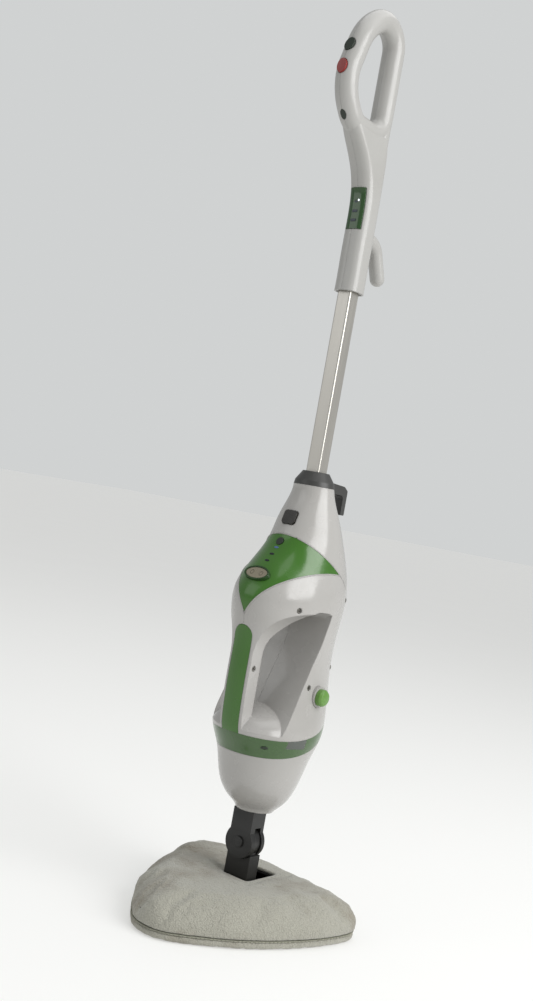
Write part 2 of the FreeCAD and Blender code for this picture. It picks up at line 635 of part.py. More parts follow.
# controls on the panel: each sits square to the slope of the front
rocker_point, rocker_turn = front_frame(float(s.rocker_height))
rocker_half, rocker_rise, edge = float(s.rocker_half), float(s.rocker_rise), float(s.bezel_edge)
bezel_low, bezel_high = -7.0, 2.2
bezel_ring = oval_prism(rocker_half + edge, rocker_rise + edge, bezel_low, bezel_high)
bezel_hole = oval_prism(rocker_half + HINGE_GAP, rocker_rise + HINGE_GAP, bezel_low - 1, bezel_high + 1)
button_point, button_turn = front_frame(float(s.button_height))
button_room = Part.makeCylinder(float(s.button_radius) + HINGE_GAP, 12, Vector(0, 0, -8))
lamp_points = [front_frame(float(s.lamp_low + index * s.lamp_pitch)) for index in range(3)]
board_depth = float(s.board_depth)
lamp_form = oval_prism(float(s.lamp_half), float(s.lamp_rise), -board_depth, 0.3)

panel = casing_skin.common(panel_form(float(s.line_gap)))
panel = panel.cut(tilted(oval_prism(rocker_half + edge + 0.05, rocker_rise + edge + 0.05, -15, 15),
                         rocker_point, rocker_turn))
panel = panel.cut(tilted(button_room, button_point, button_turn))
lamps = []
for lamp_point, lamp_turn in lamp_points:
    lamp = tilted(lamp_form, lamp_point, lamp_turn)
    panel = panel.cut(lamp)
    lamps.append(lamp)
node("control_panel", formed("control_panel", panel))
node("panel_lamps", formed("panel_lamps", Part.makeCompound(lamps)))
node("rocker_bezel", formed("rocker_bezel", tilted(bezel_ring.cut(bezel_hole), rocker_point, rocker_turn)))

rocker_form = oval_prism(rocker_half, rocker_rise, -5.0, 1.6)
rocker_bore = Part.makeCylinder(1.25, 40, Vector(0, -20, -2.5), Vector(0, 1, 0))
rocker_form = rocker_form.cut(rocker_bore)
node("rocker_switch", formed("rocker_switch", tilted(rocker_form, rocker_point, rocker_turn)))
axle_half = rocker_rise + edge - 0.3
rocker_axle = Part.makeCylinder(1.2, 2 * axle_half, Vector(0, -axle_half, -2.5),
                                Vector(0, 1, 0))
bezel_with_axle = NODES["rocker_bezel"]
bezel_with_axle.Shape = tilted(bezel_ring.cut(bezel_hole).fuse(rocker_axle), rocker_point, rocker_turn)

button_low = -4.0
push_button = Part.makeCylinder(float(s.button_radius), float(s.button_proud) - button_low,
                                Vector(0, 0, button_low))
node("panel_button", formed("panel_button", tilted(push_button, button_point, button_turn)))
spring_slack = float(s.spring_slack)
spring_foot = -board_depth - 0.8
pressed_length = button_low - spring_foot - float(s.panel_travel) - spring_slack
spring_coil = Part.makeCylinder(2.6, pressed_length, Vector(0, 0, spring_foot))
spring_coil = spring_coil.cut(Part.makeCylinder(2.0, 30, Vector(0, 0, -20)))
node("panel_spring", formed("panel_spring", tilted(spring_coil, button_point, button_turn)))
middle_point, middle_turn = front_frame(float(s.lamp_low + s.lamp_pitch))
board_long = (button_point - lamp_points[0][0]).Length + 14
board = Part.makeBox(2 * float(s.board_half), board_long, float(s.board_thick),
                     Vector(-float(s.board_half), -board_long / 2 + 4, -board_depth - float(s.board_thick)))
node("panel_board", formed("panel_board", tilted(board, middle_point, middle_turn)))

# casing screws, driven from the right-hand side, and their recesses
screw_radius, head_radius = float(s.screw_radius), float(s.screw_head_radius)
SCREWS = ((-44, 389, 24), (-68, 311, 26), (57, 405, 24), (56, 318, 5), (-4, 296, 14))
screw_shapes, screw_room = [], []
for place, height, length in SCREWS:
    probe = Part.makeLine(Vector(0, place, height), Vector(100, place, height)).common(UNIT)
    face = probe.BoundBox.XMax - 0.8
    shank_room = Part.makeCylinder(screw_radius + 0.05, length + 0.5, Vector(face, place, height),
                                   Vector(-1, 0, 0))
    head_room = Part.makeCylinder(head_radius + 0.3, 20, Vector(face - 1.0, place, height), Vector(1, 0, 0))
    screw_room.append(shank_room.fuse(head_room))
    head = Part.makeCylinder(head_radius, 0.9, Vector(face - 0.95, place, height), Vector(1, 0, 0))
    shank = Part.makeCylinder(screw_radius, length, Vector(face, place, height), Vector(-1, 0, 0))
    screw_shapes.append(head.fuse(shank))
node("casing_screws", formed("casing_screws", Part.makeCompound(screw_shapes)))

knob_at = (float(s.knob_place), float(s.knob_height))
boss_room = Part.makeCylinder(float(s.boss_radius) + 0.05, 60, Vector(40, *knob_at), Vector(1, 0, 0))
gland_room = Part.makeCylinder(float(s.gland_radius) + 0.05, 60, Vector(0, 60, float(s.gland_height)),
                               Vector(0, 1, 0))
right_casing = casing_body.common(right_half).cut(boss_room).cut(gland_room)
left_casing = casing_body.common(left_half).cut(gland_room)
for room in screw_room:
    right_casing = right_casing.cut(room)
    left_casing = left_casing.cut(room)
node("casing_right", formed("casing_right", right_casing))
node("casing_left", formed("casing_left", left_casing))

# ---------------------------------------------------------------- inside the steam unit
boiler_foot = s.stub_top + s.boiler_flange_thick
node("boiler", turned("boiler", [
    (0, 0), (s.boiler_radius, 0), (s.boiler_radius, s.boiler_long * 0.8),
    (s.boiler_radius * 0.75, s.boiler_long), (0, s.boiler_long)], (0, 0, boiler_foot)))
thermostat_foot = boiler_foot + s.boiler_long
node("thermostat", cylinder("thermostat", s.thermostat_radius, s.thermostat_thick, (0, 6, thermostat_foot)))

chassis_low, chassis_high = float(s.chassis_height), float(s.chassis_height + s.chassis_thick)
hose_place = Vector(0, -14, 0)
hose_room = Part.makeCylinder(float(s.hose_radius) + 0.2, 20, Vector(0, hose_place.y, chassis_low - 5))
chassis = LOOSE_FIT.common(slab(chassis_low, chassis_high)).cut(hose_room)
node("chassis_plate", formed("chassis_plate", chassis))
node("steam_hose", cylinder("steam_hose", s.hose_radius, s.chassis_height + s.chassis_thick - thermostat_foot,
                            (0, hose_place.y, thermostat_foot)))
node("pump", box("pump", (s.pump_wide, s.pump_deep, s.pump_tall),
                 (0, s.pump_place, s.chassis_height + s.chassis_thick)))
pump_rear = s.pump_place + s.pump_deep / 2
node("feed_hose", cylinder("feed_hose", s.hose_radius, s.tank_front_low - pump_rear,
                           (0, pump_rear, s.chassis_height + s.chassis_thick + 12), "Y"))


def tank_form(depth):
    """The tank follows the casing's inner face, taken in by a depth."""
    form = unit_solid(float(s.wall) + 2 + depth)
    low_box = Part.makeBox(200, 200, float(s.tank_step) - chassis_high - 2 * depth - 0.3,
                           Vector(-100, float(s.tank_front_low) + depth, chassis_high + 0.3 + depth))
    high_box = Part.makeBox(200, 200, float(s.tank_top) - chassis_high - 2 * depth - 0.3,
                            Vector(-100, float(s.tank_front_high) + depth, chassis_high + 0.3 + depth))
    return form.common(low_box.fuse(high_box))


filler_bore = Part.makeCylinder(float(s.boss_bore), 60, Vector(30, *knob_at), Vector(1, 0, 0))
tank = tank_form(0).cut(tank_form(float(s.tank_wall))).cut(filler_bore)
for room in screw_room:
    tank = tank.cut(room)
node("water_tank", formed("water_tank", tank))
boss = Part.makeCylinder(float(s.boss_radius), float(s.knob_face) - 40, Vector(40, *knob_at), Vector(1, 0, 0))
boss = boss.cut(filler_bore).cut(unit_solid(float(s.wall) + 1.9))
node("filler_boss", formed("filler_boss", boss))
knob_face = s.knob_face + HINGE_GAP
node("filler_knob", turned("filler_knob", [
    (0, 0), (s.knob_stem, 0), (s.knob_stem, 8), (s.knob_radius, 8), (s.knob_radius, 8 + s.knob_long * 0.6),
    (s.knob_radius * 0.8, 8 + s.knob_long * 0.9), (s.knob_radius * 0.3, 8 + s.knob_long),
    (0, 8 + s.knob_long)],
    (knob_face - 8, s.knob_place, s.knob_height), "X"))

gland_line = Part.makeLine(Vector(0, 0, float(s.gland_height)), Vector(0, 200, float(s.gland_height)))
gland_probe = gland_line.common(UNIT)
gland_face = gland_probe.BoundBox.YMax
gland = Part.makeCylinder(float(s.gland_radius), float(s.wall) + 4, Vector(0, gland_face - float(s.wall) - 2,
                                                                          float(s.gland_height)), Vector(0, 1, 0))
gland = gland.cut(Part.makeCylinder(float(s.gland_bore), 60, Vector(0, gland_face - 30, float(s.gland_height)),
                                    Vector(0, 1, 0)))
node("cord_gland", formed("cord_gland", gland))

# the sloping deck that closes the unit, with the socket for the pole's tongue
pole_y = float(s.pole_place)
deck_slab = below_seam(1.0).cut(below_seam(1.0 + float(s.deck_thick)))
deck = LOOSE_FIT.common(deck_slab)
socket_wide, socket_deep, socket_wall = float(s.socket_wide), float(s.socket_deep), float(s.socket_wall)
seam_at_pole = float(s.seam_height) - float(s.seam_fall) * (pole_y - float(s.seam_place))


def upright_block(wide, deep, low, high):
    return Part.makeBox(wide, deep, high - low, Vector(-wide / 2, pole_y - deep / 2, low))


socket = upright_block(socket_wide, socket_deep, float(s.socket_low), 600).common(below_seam(1.5))
well = upright_block(socket_wide - 2 * socket_wall, socket_deep - 2 * socket_wall,
                     float(s.socket_low) + 3, 600)
node("pole_socket", formed("pole_socket", deck.fuse(socket).cut(well)))

# ---------------------------------------------------------------- pole
release_point, release_turn = front_frame(float(s.release_height), float(s.release_tilt))
release_wide, release_tall = float(s.release_wide), float(s.release_tall)
release_deep = float(s.release_deep)


def square_block(wide, tall, low, high, corner):
    """A block with rounded corners, standing on the Z axis."""
    corners = [Vector(x * wide / 2, y * tall / 2, low) for x, y in ((-1, -1), (1, -1), (1, 1), (-1, 1))]
    return Part.Face(rounded_wire(corners, [corner] * 4)).extrude(Vector(0, 0, high - low))


push_gap = float(s.push_gap)
release_room = square_block(release_wide + 2 * push_gap, release_tall + 2 * push_gap, -12, 12, 4)
above_seam = slab(100, 900).cut(below_seam(-float(s.seam_gap)))
pole_cone = SKIN.common(above_seam).cut(tilted(release_room, release_point, release_turn))
node("pole_cone", formed("pole_cone", pole_cone))
release_form = square_block(release_wide, release_tall, -release_deep, float(s.release_proud), 4)
node("release_button", formed("release_button", tilted(release_form, release_point, release_turn)))
plug_face = float(s.pole_place) - 7


def tube_form(side, low, high, corner):
    block = square_block(side, side, low, high, corner)
    block.translate(Vector(0, pole_y, 0))
    return block


tube_side, tube_corner, tube_gap = float(s.tube_side), float(s.tube_corner), float(s.tube_gap)
tube_hole = tube_form(tube_side + 2 * tube_gap, float(s.tube_low), 900, tube_corner)
plug = LOOSE_FIT.common(slab(float(s.plug_low), float(s.cone_top) - 2))
release_clear = Part.makeBox(release_wide + 4, 60, 60,
                             Vector(-release_wide / 2 - 2, plug_face - 60, float(s.release_height) - 14))
tongue_gap = float(s.tongue_gap)
tongue_low = seam_at_pole - float(s.tongue_length)
tongue = upright_block(socket_wide - 2 * socket_wall - 2 * tongue_gap,
                       socket_deep - 2 * socket_wall - 2 * tongue_gap,
                       tongue_low, float(s.plug_low) + 1)
wire_bore = Part.makeCylinder(4, 400, Vector(0, pole_y, 300))
node("pole_plug", formed("pole_plug", plug.cut(release_clear).fuse(tongue).cut(tube_hole).cut(wire_bore)))
tube_top = float(s.socket_height) + 40
tube = tube_form(tube_side, float(s.tube_low), tube_top, tube_corner)
tube_inside = tube_form(tube_side - 2 * float(s.tube_wall), float(s.tube_low) - 1, tube_top + 1,
                        tube_corner - float(s.tube_wall))
node("pole_tube", formed("pole_tube", tube.cut(tube_inside)))

release_seat = -release_deep - float(s.release_travel) - spring_slack
release_back = Part.makeCylinder(3.5, 60, Vector(0, 0, release_seat - 60))
release_back = tilted(release_back, release_point, release_turn)
release_bore = tilted(Part.makeCylinder(2.6, 80, Vector(0, 0, -80)), release_point, release_turn)
release_spring = release_back.cut(release_bore)
release_spring = release_spring.common(Part.makeBox(60, 60, 200, Vector(-30, plug_face - 60, 400)))
release_spring = release_spring.cut(NODES["pole_plug"].Shape)
node("release_spring", formed("release_spring", release_spring))

cone_top = float(s.cone_top)
collar_half = float(s.collar_half)
collar_foot = oval_ring("tip", 0.0)
collar_head = Part.Circle(Vector(0, pole_y, float(s.collar_top)), Vector(0, 0, 1), collar_half + 2)
collar_waist = oval_ring("tip", 1.0).translated(Vector(0, 0, 6))
collar = Part.makeLoft([collar_foot, collar_waist, Part.Wire([collar_head.toShape()])], True, True)
hook_wide, hook_reach, hook_leg = float(s.hook_wide), float(s.hook_reach), float(s.hook_leg)
hook_top, hook_end = cone_top + float(s.hook_arm_rise), cone_top - float(s.hook_drop)
collar_rear = float(s.tip_rear) + 3
hook_outline = rounded_wire([Vector(-hook_wide / 2, y, z) for y, z in (
    (pole_y + 8, cone_top), (collar_rear, cone_top), (collar_rear + 2, cone_top - 4),
    (hook_reach - hook_leg, cone_top - 5), (hook_reach - hook_leg, hook_end), (hook_reach, hook_end),
    (hook_reach, cone_top + 2), (hook_reach - hook_leg, hook_top - 1), (collar_rear - 3, hook_top + 1),
    (pole_y + 8, hook_top + 5))], (0.5, 0.5, 1, 5, 1.5, 1.5, 3, 6, 6, 0.5))
hook = prism(hook_outline, Vector(hook_wide, 0, 0))
node("pole_collar", formed("pole_collar", collar.fuse(hook).cut(tube_hole)))

# ---------------------------------------------------------------- handle
handle_low = float(s.socket_height)


def handle_ring(name, depth):
    """One level section of the handle below its loop, taken in by a depth."""
    height, front, rear, wide = [float(getattr(s, f"{name}_{end}")) for end in SECTION_ALIASES]
    half = wide / 2 - depth
    corners = [Vector(x * half, y, height) for x, y in ((-1, front + depth), (1, front + depth),
                                                       (1, rear - depth), (-1, rear - depth))]
    return rounded_wire(corners, [float(s.handle_corner) - depth] * 4)


def handle_path():
    """Centreline of the closed loop: up the rear bar, over the crown and down the front bar."""
    rear, top, low = float(s.loop_rear), float(s.loop_top), float(s.loop_low)
    corners = [Vector(0, y, z) for y, z in (
        (rear, top), (float(s.loop_crown), float(s.loop_crown_height)),
        (float(s.loop_front), float(s.loop_front_height)), (float(s.loop_low_front), low), (rear, low))]
    return rounded_wire(corners, (28, 73, 52, 30, float(s.loop_rear_corner)))


def handle_form(depth=0.0):
    """The whole handle, taken in by a depth."""
    neck = Part.makeLoft([handle_ring(name, depth) for name in SECTIONS], True, False)
    if depth > 0:
        mouth = prism(handle_ring("socket", depth), Vector(0, 0, -5))
        neck = neck.fuse(mouth)
    path = handle_path()
    start = path.Edges[-1]
    way = start.tangentAt(start.FirstParameter)
    at = start.valueAt(start.FirstParameter)
    ring = Part.Wire([Part.Circle(at, way, float(s.bar_radius) - depth).toShape()])
    loop = path.makePipeShell([ring], True, False, 1)
    root_foot = float(s.fork_height)
    root_length = float(s.loop_low) + float(s.loop_rear_corner) + 12 - root_foot
    rear_root = Part.makeCylinder(float(s.bar_radius) - depth - 0.4, root_length,
                                  Vector(0, float(s.loop_rear), root_foot))
    return neck.fuse([loop, rear_root])


HANDLE = handle_form()
HANDLE_CAVITY = handle_form(float(s.handle_wall))
handle_skin = HANDLE.cut(HANDLE_CAVITY)
PATH = handle_path()


def bar_frame(height):
    """Point on the front bar's centreline at a height, and the turn about X that faces outwards there."""
    level = Part.makeLine(Vector(0, -120, height), Vector(0, -20, height))
    point = PATH.distToShape(level)[1][0][0]
    edge_found = min(PATH.Edges, key=lambda edge: edge.distToShape(Part.Vertex(point))[0])
    way = edge_found.tangentAt(edge_found.Curve.parameter(point))
    way = way if way.z > 0 else -way
    lean = math.degrees(math.atan2(way.y, way.z))
    return point, 90 - lean


def handle_button(height, half_wide, half_tall, proud):
    """An oval push button in the front bar, its room, its spring and its place and turn."""
    point, turn = bar_frame(height)
    reach = float(s.bar_radius)
    key_depth, coil_foot = float(s.key_depth), float(s.coil_foot)
    cap = tilted(oval_prism(half_wide, half_tall, reach - key_depth, reach + proud), point, turn)
    room = tilted(oval_prism(half_wide + push_gap, half_tall + push_gap, reach - 8, reach + 8), point, turn)
    coil_length = reach - key_depth - float(s.handle_travel) - spring_slack - coil_foot
    coil = Part.makeCylinder(float(s.coil_radius), coil_length, Vector(0, 0, coil_foot))
    coil = coil.cut(Part.makeCylinder(float(s.coil_bore), 40, Vector(0, 0, -5)))
    return cap, room, tilted(coil, point, turn), point


button_wide, button_tall = float(s.button_half_wide), float(s.button_half_tall)
steam_cap, steam_room, steam_coil, steam_at = handle_button(
    float(s.steam_button_height), button_wide, button_tall, float(s.key_proud))
power_cap, power_room, power_coil, power_at = handle_button(
    float(s.power_button_height), button_wide, button_tall, float(s.key_proud))
node("steam_button", formed("steam_button", steam_cap))
node("power_button", formed("power_button", power_cap))
node("steam_spring", formed("steam_spring", steam_coil))
node("power_spring", formed("power_spring", power_coil))
board_middle = (steam_at + power_at) * 0.5
board_way = steam_at - power_at
board_turn = 90 - math.degrees(math.atan2(board_way.y, board_way.z))
handle_board = Part.makeBox(40, board_way.Length + 16, 1.6, Vector(-20, -board_way.Length / 2 - 8, 0.2))
handle_board = tilted(handle_board, board_middle, board_turn)
handle_board = handle_board.common(handle_form(float(s.handle_wall + s.seat_gap)))
node("handle_board", formed("handle_board", handle_board))
port_point, port_turn = bar_frame(float(s.port_height))
port_wide, port_tall = float(s.port_half_wide), float(s.port_half_tall)
bar_radius = float(s.bar_radius)
port = tilted(oval_prism(port_wide, port_tall, bar_radius - 5, bar_radius - 0.4), port_point, port_turn)
port_room = tilted(oval_prism(port_wide, port_tall, bar_radius - 5, bar_radius + 8), port_point, port_turn)
node("handle_port", formed("handle_port", port))

lens_low, lens_high, lens_half = float(s.lens_low), float(s.lens_high), float(s.lens_half)


def lens_room(gap):
    return Part.makeBox(2 * (lens_half - gap), 60, lens_high - lens_low - 2 * gap,
                        Vector(-lens_half + gap, pole_y - 70, lens_low + gap))


lens_skin = handle_form(-float(s.lens_proud)).cut(HANDLE_CAVITY)
lens = lens_skin.common(lens_room(float(s.line_gap)))
lens_lamps = []
for index, height in enumerate((0.68, 0.437, 0.214)):
    lamp_z = lens_low + height * (lens_high - lens_low)
    if index == 0:
        lamp = Part.makeCylinder(2.2, 6, Vector(0, 0, 0), Vector(0, 1, 0))
    else:
        lamp = Part.makeBox(7, 6, 3, Vector(-3.5, 0, -1.5))
    lamp.translate(Vector(0, float(s.display_front) - float(s.lens_proud) - 0.3, lamp_z))
    lens = lens.cut(lamp)
    lens_lamps.append(lamp)
node("display_lens", formed("display_lens", lens))
node("display_lamps", formed("display_lamps", Part.makeCompound(lens_lamps)))
lamp_rear = float(s.display_front) - float(s.lens_proud) - 0.3 + 6
node("display_board", formed("display_board", Part.makeBox(18, 1.6, 44, Vector(-9, lamp_rear, lens_low + 3))))

clamp = handle_form(float(s.handle_wall + s.seat_gap)).common(slab(handle_low + 0.5, handle_low + 38))
node("tube_clamp", formed("tube_clamp", clamp.cut(tube_hole)))

# upper cord hook: a bent finger that swings about its root
hook_z, finger = float(s.cord_hook_height), float(s.cord_hook_radius)
hook_root = float(s.shaft_rear) + float(s.hook_gap)
hook_route = [Vector(0, hook_root, hook_z), Vector(0, float(s.cord_hook_bend), hook_z),
              Vector(0, float(s.cord_hook_reach), float(s.cord_hook_tip))]
back, ahead = (hook_route[0] - hook_route[1]).normalize(), (hook_route[2] - hook_route[1]).normalize()
half_turn = back.getAngle(ahead) / 2
bend_radius = float(s.cord_hook_curve)
reach = bend_radius / math.tan(half_turn)
inward = (back + ahead).normalize() * (bend_radius / math.sin(half_turn) - bend_radius)
bend = (hook_route[1] + back * reach, hook_route[1] + inward, hook_route[1] + ahead * reach)
hook_edges = [Part.LineSegment(hook_route[0], bend[0]).toShape(), Part.Arc(*bend).toShape(),
              Part.LineSegment(bend[2], hook_route[2]).toShape()]
hook_ring = Part.Wire([Part.Circle(hook_route[0], Vector(0, 1, 0), finger).toShape()])
hook_finger = Part.Wire(hook_edges).makePipeShell([hook_ring], True, False, 1)
hook_finger = hook_finger.fuse(Part.makeSphere(finger, hook_route[2]))
axle_radius = float(s.hook_axle_radius)
hook_bore = Part.makeCylinder(axle_radius + float(s.pin_clearance), 16, Vector(0, hook_root - 1, hook_z),
                              Vector(0, 1, 0))
node("cord_hook", formed("cord_hook", hook_finger.cut(hook_bore)))
axle_foot = Vector(0, hook_root - float(s.handle_wall) - 1.5, hook_z)
axle = Part.makeCylinder(axle_radius, float(s.handle_wall) + 14, axle_foot,
                         Vector(0, 1, 0))
node("hook_axle", formed("hook_axle", axle))

handle_shell = handle_skin.cut(steam_room).cut(power_room).cut(port_room).cut(lens_room(0)).cut(axle)
handle_screws = []
for place, height, length in ((pole_y, 850, 22), (pole_y, 955, 22), (-30, 1122, 20)):
    probe = Part.makeLine(Vector(-100, place, height), Vector(0, place, height)).common(HANDLE)
    face = probe.BoundBox.XMin + 0.8
    room = Part.makeCylinder(screw_radius + 0.05, length + 0.5, Vector(face, place, height), Vector(1, 0, 0))
    head_room = Part.makeCylinder(head_radius + 0.3, 20, Vector(face + 1.0, place, height), Vector(-1, 0, 0))
    room = room.fuse(head_room)
    handle_shell = handle_shell.cut(room)
    head = Part.makeCylinder(head_radius, 0.9, Vector(face + 0.95, place, height), Vector(-1, 0, 0))
    shank = Part.makeCylinder(screw_radius, length, Vector(face, place, height), Vector(1, 0, 0))
    handle_screws.append(head.fuse(shank))
node("handle_screws", formed("handle_screws", Part.makeCompound(handle_screws)))
high_right = Part.makeBox(400, 800, 1000, Vector(0, -400, 500))
high_left = Part.makeBox(400, 800, 1000, Vector(-400, -400, 500))
node("handle_right", formed("handle_right", handle_shell.common(high_right)))
node("handle_left", formed("handle_left", handle_shell.common(high_left)))

# ---------------------------------------------------------------- check and write
doc.recompute()
for item in doc.Objects:
    if "Invalid" in item.State or "Error" in item.State:
        raise RuntimeError(f"{item.Label} did not build: {item.State}")
for name, piece in NODES.items():
    if piece.Shape.isNull() or not piece.Shape.isValid():
        raise RuntimeError(f"{name} has no valid shape")
    if not piece.Shape.Solids:
        raise RuntimeError(f"{name} has no solid")

os.makedirs("parts", exist_ok=True)
for name, piece in NODES.items():
    piece.Shape.exportStep(f"parts/{name}.step")
    print(f"{name}: {len(piece.Shape.Solids)} solid(s), {piece.Shape.Volume / 1000:.1f} cm3")
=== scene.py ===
import math

import bpy
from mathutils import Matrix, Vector, noise


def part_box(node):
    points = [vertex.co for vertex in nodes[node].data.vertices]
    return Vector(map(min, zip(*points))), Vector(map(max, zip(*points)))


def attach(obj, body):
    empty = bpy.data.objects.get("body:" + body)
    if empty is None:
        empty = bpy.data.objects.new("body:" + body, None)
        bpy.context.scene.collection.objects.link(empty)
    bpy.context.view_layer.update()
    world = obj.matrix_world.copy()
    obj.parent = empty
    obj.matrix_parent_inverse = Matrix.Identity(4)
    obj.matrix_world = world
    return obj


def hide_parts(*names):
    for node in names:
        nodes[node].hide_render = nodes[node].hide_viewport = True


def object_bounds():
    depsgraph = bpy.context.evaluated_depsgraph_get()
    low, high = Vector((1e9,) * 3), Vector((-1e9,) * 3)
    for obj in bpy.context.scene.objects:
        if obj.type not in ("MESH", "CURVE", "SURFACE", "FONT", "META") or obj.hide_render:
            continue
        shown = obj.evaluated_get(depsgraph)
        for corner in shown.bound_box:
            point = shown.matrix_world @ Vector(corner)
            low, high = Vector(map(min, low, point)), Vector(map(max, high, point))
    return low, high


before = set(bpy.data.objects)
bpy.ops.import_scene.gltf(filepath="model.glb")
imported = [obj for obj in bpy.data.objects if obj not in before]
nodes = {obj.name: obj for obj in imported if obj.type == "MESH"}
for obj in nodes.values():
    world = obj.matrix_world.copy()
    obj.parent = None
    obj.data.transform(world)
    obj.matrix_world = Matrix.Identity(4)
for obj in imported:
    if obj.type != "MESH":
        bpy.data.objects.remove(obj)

cad_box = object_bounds()

# ---------------------------------------------------------------- camera
# The mop is seen from its right front at hand height, with the camera held a little crooked.
bpy.ops.object.select_all(action="DESELECT")
camera_place = (0.8586, -1.1794, 0.512)
camera_pitch, camera_roll, camera_turn = math.radians(90), math.radians(-10.15), math.radians(38)
bpy.ops.object.camera_add(location=camera_place, rotation=(camera_pitch, camera_roll, camera_turn))
camera = bpy.context.object
camera.name = "camera"
camera.data.sensor_width = 36
camera.data.lens = 41.93
camera.data.clip_end = 60
bpy.context.scene.camera = camera

# ---------------------------------------------------------------- floor and light
# A pale matt floor that fades evenly into an equally pale distance, a broad window-like light on the
# right and weaker ones in front and above.


def new_finish(name, colour, roughness):
    """A material with one main shader, and the tree and shader to work on."""
    finish = bpy.data.materials.new(name)
    finish.use_nodes = True
    shader = finish.node_tree.nodes["Principled BSDF"]
    shader.inputs["Base Color"].default_value = (*colour, 1)
    shader.inputs["Roughness"].default_value = roughness
    return finish, finish.node_tree, shader


def add_node(tree, kind, **inputs):
    """A node of that kind, with its inputs set by name: a number, or a socket to link."""
    made = tree.nodes.new(kind)
    for name, value in inputs.items():
        socket = made.inputs[name.replace("_", " ")]
        if isinstance(value, bpy.types.NodeSocket):
            tree.links.new(value, socket)
        else:
            socket.default_value = value
    return made


def speckled(tree, scale, detail=3.0):
    """Soft noise over the piece's own place, as a value from about 0.3 to 0.7."""
    place = tree.nodes.new("ShaderNodeTexCoord").outputs["Object"]
    cloud = add_node(tree, "ShaderNodeTexNoise", Vector=place, Scale=scale, Detail=detail)
    return cloud.outputs["Fac"]


floor_finish, floor_tree, floor_shader = new_finish("pale_floor", (0.50, 0.50, 0.49), 0.7)
floor_blend = add_node(floor_tree, "ShaderNodeMapRange", Value=speckled(floor_tree, 3.0),
                       To_Min=0.62, To_Max=0.78)
floor_tree.links.new(floor_blend.outputs["Result"], floor_shader.inputs["Roughness"])
floor_shader.inputs["Emission Color"].default_value = (1, 1, 0.985, 1)
floor_shader.inputs["Emission Strength"].default_value = 0.42
bpy.ops.mesh.primitive_plane_add(size=60, location=(0, 0, 0))
floor = bpy.context.object
floor.name = "floor"
floor.data.materials.append(floor_finish)

middle_height = (cad_box[0][2] + cad_box[1][2]) / 2
for light_name, light_place, light_width, light_power in (
        ("window_light", (2.2, 0.2, 1.6), 1.9, 58), ("front_light", (-1.2, -2.4, 1.7), 1.8, 9),
        ("sky_light", (0.2, 0.4, 3.0), 2.6, 26)):
    bpy.ops.object.light_add(type="AREA", location=light_place)
    light = bpy.context.object
    light.name = light_name
    light.data.shape = "SQUARE"
    light.data.size = light_width
    light.data.energy = light_power
    aim = Vector((0, 0, middle_height)) - Vector(light_place)
    light.rotation_euler = aim.to_track_quat("-Z", "Y").to_euler()
room_light, room_seen = 0.44, 0.645
world = bpy.data.worlds.new("soft_room")
world.use_nodes = True
room = world.node_tree.nodes["Background"]
room.inputs["Color"].default_value = (0.98, 1.0, 1.0, 1)
looked_at = world.node_tree.nodes.new("ShaderNodeLightPath").outputs["Is Camera Ray"]
room_strength = add_node(world.node_tree, "ShaderNodeMapRange", Value=looked_at,
                         To_Min=room_light, To_Max=room_seen)
world.node_tree.links.new(room_strength.outputs["Result"], room.inputs["Strength"])
bpy.context.scene.world = world
bpy.context.scene.view_settings.view_transform = "Standard"

# ---------------------------------------------------------------- lower cone, casing halves and pole cone
# The shells of the steam unit are moulded in glossy white plastic, a little greyed by use. The two
# casing halves are screwed together; the lower cone and the pole cone push on below and above them.


def new_group(name, inputs, outputs):
    """A shader node group with named inputs and outputs."""
    group = bpy.data.node_groups.new(name, "ShaderNodeTree")
    for label, kind, value in inputs:
        group.interface.new_socket(label, in_out="INPUT", socket_type=kind).default_value = value
    for label, kind in outputs:
        group.interface.new_socket(label, in_out="OUTPUT", socket_type=kind)
    return group, group.nodes.new("NodeGroupInput"), group.nodes.new("NodeGroupOutput")


moulded, moulded_in, moulded_out = new_group(
    "moulded_face",
    (("Colour", "NodeSocketColor", (1, 1, 1, 1)), ("Soil", "NodeSocketColor", (0.2, 0.17, 0.12, 1)),
     ("Soiling", "NodeSocketFloat", 0.15), ("Smooth", "NodeSocketFloat", 0.2),
     ("Rubbed", "NodeSocketFloat", 0.4), ("Grain", "NodeSocketFloat", 900.0)),
    (("Colour", "NodeSocketColor"), ("Roughness", "NodeSocketFloat"), ("Height", "NodeSocketFloat")))
cloudy = speckled(moulded, 9.0, 4.0)
patch = add_node(moulded, "ShaderNodeMapRange", Value=cloudy, From_Min=0.48, From_Max=0.78)
soiled = add_node(moulded, "ShaderNodeMath", Value=patch.outputs["Result"])
soiled.operation = "MULTIPLY"
moulded.links.new(moulded_in.outputs["Soiling"], soiled.inputs[1])
tinted = moulded.nodes.new("ShaderNodeMix")
tinted.data_type = "RGBA"
moulded.links.new(soiled.outputs["Value"], tinted.inputs["Factor"])
moulded.links.new(moulded_in.outputs["Colour"], tinted.inputs[6])
moulded.links.new(moulded_in.outputs["Soil"], tinted.inputs[7])
moulded.links.new(tinted.outputs[2], moulded_out.inputs["Colour"])
handled = add_node(moulded, "ShaderNodeMapRange", Value=speckled(moulded, 38.0, 6.0),
                   From_Min=0.42, From_Max=0.75,
                   To_Min=moulded_in.outputs["Smooth"], To_Max=moulded_in.outputs["Rubbed"])
moulded.links.new(handled.outputs["Result"], moulded_out.inputs["Roughness"])
grain_place = moulded.nodes.new("ShaderNodeTexCoord").outputs["Object"]
grain_cloud = add_node(moulded, "ShaderNodeTexNoise", Vector=grain_place, Detail=2.0,
                       Scale=moulded_in.outputs["Grain"])
moulded.links.new(grain_cloud.outputs["Fac"], moulded_out.inputs["Height"])


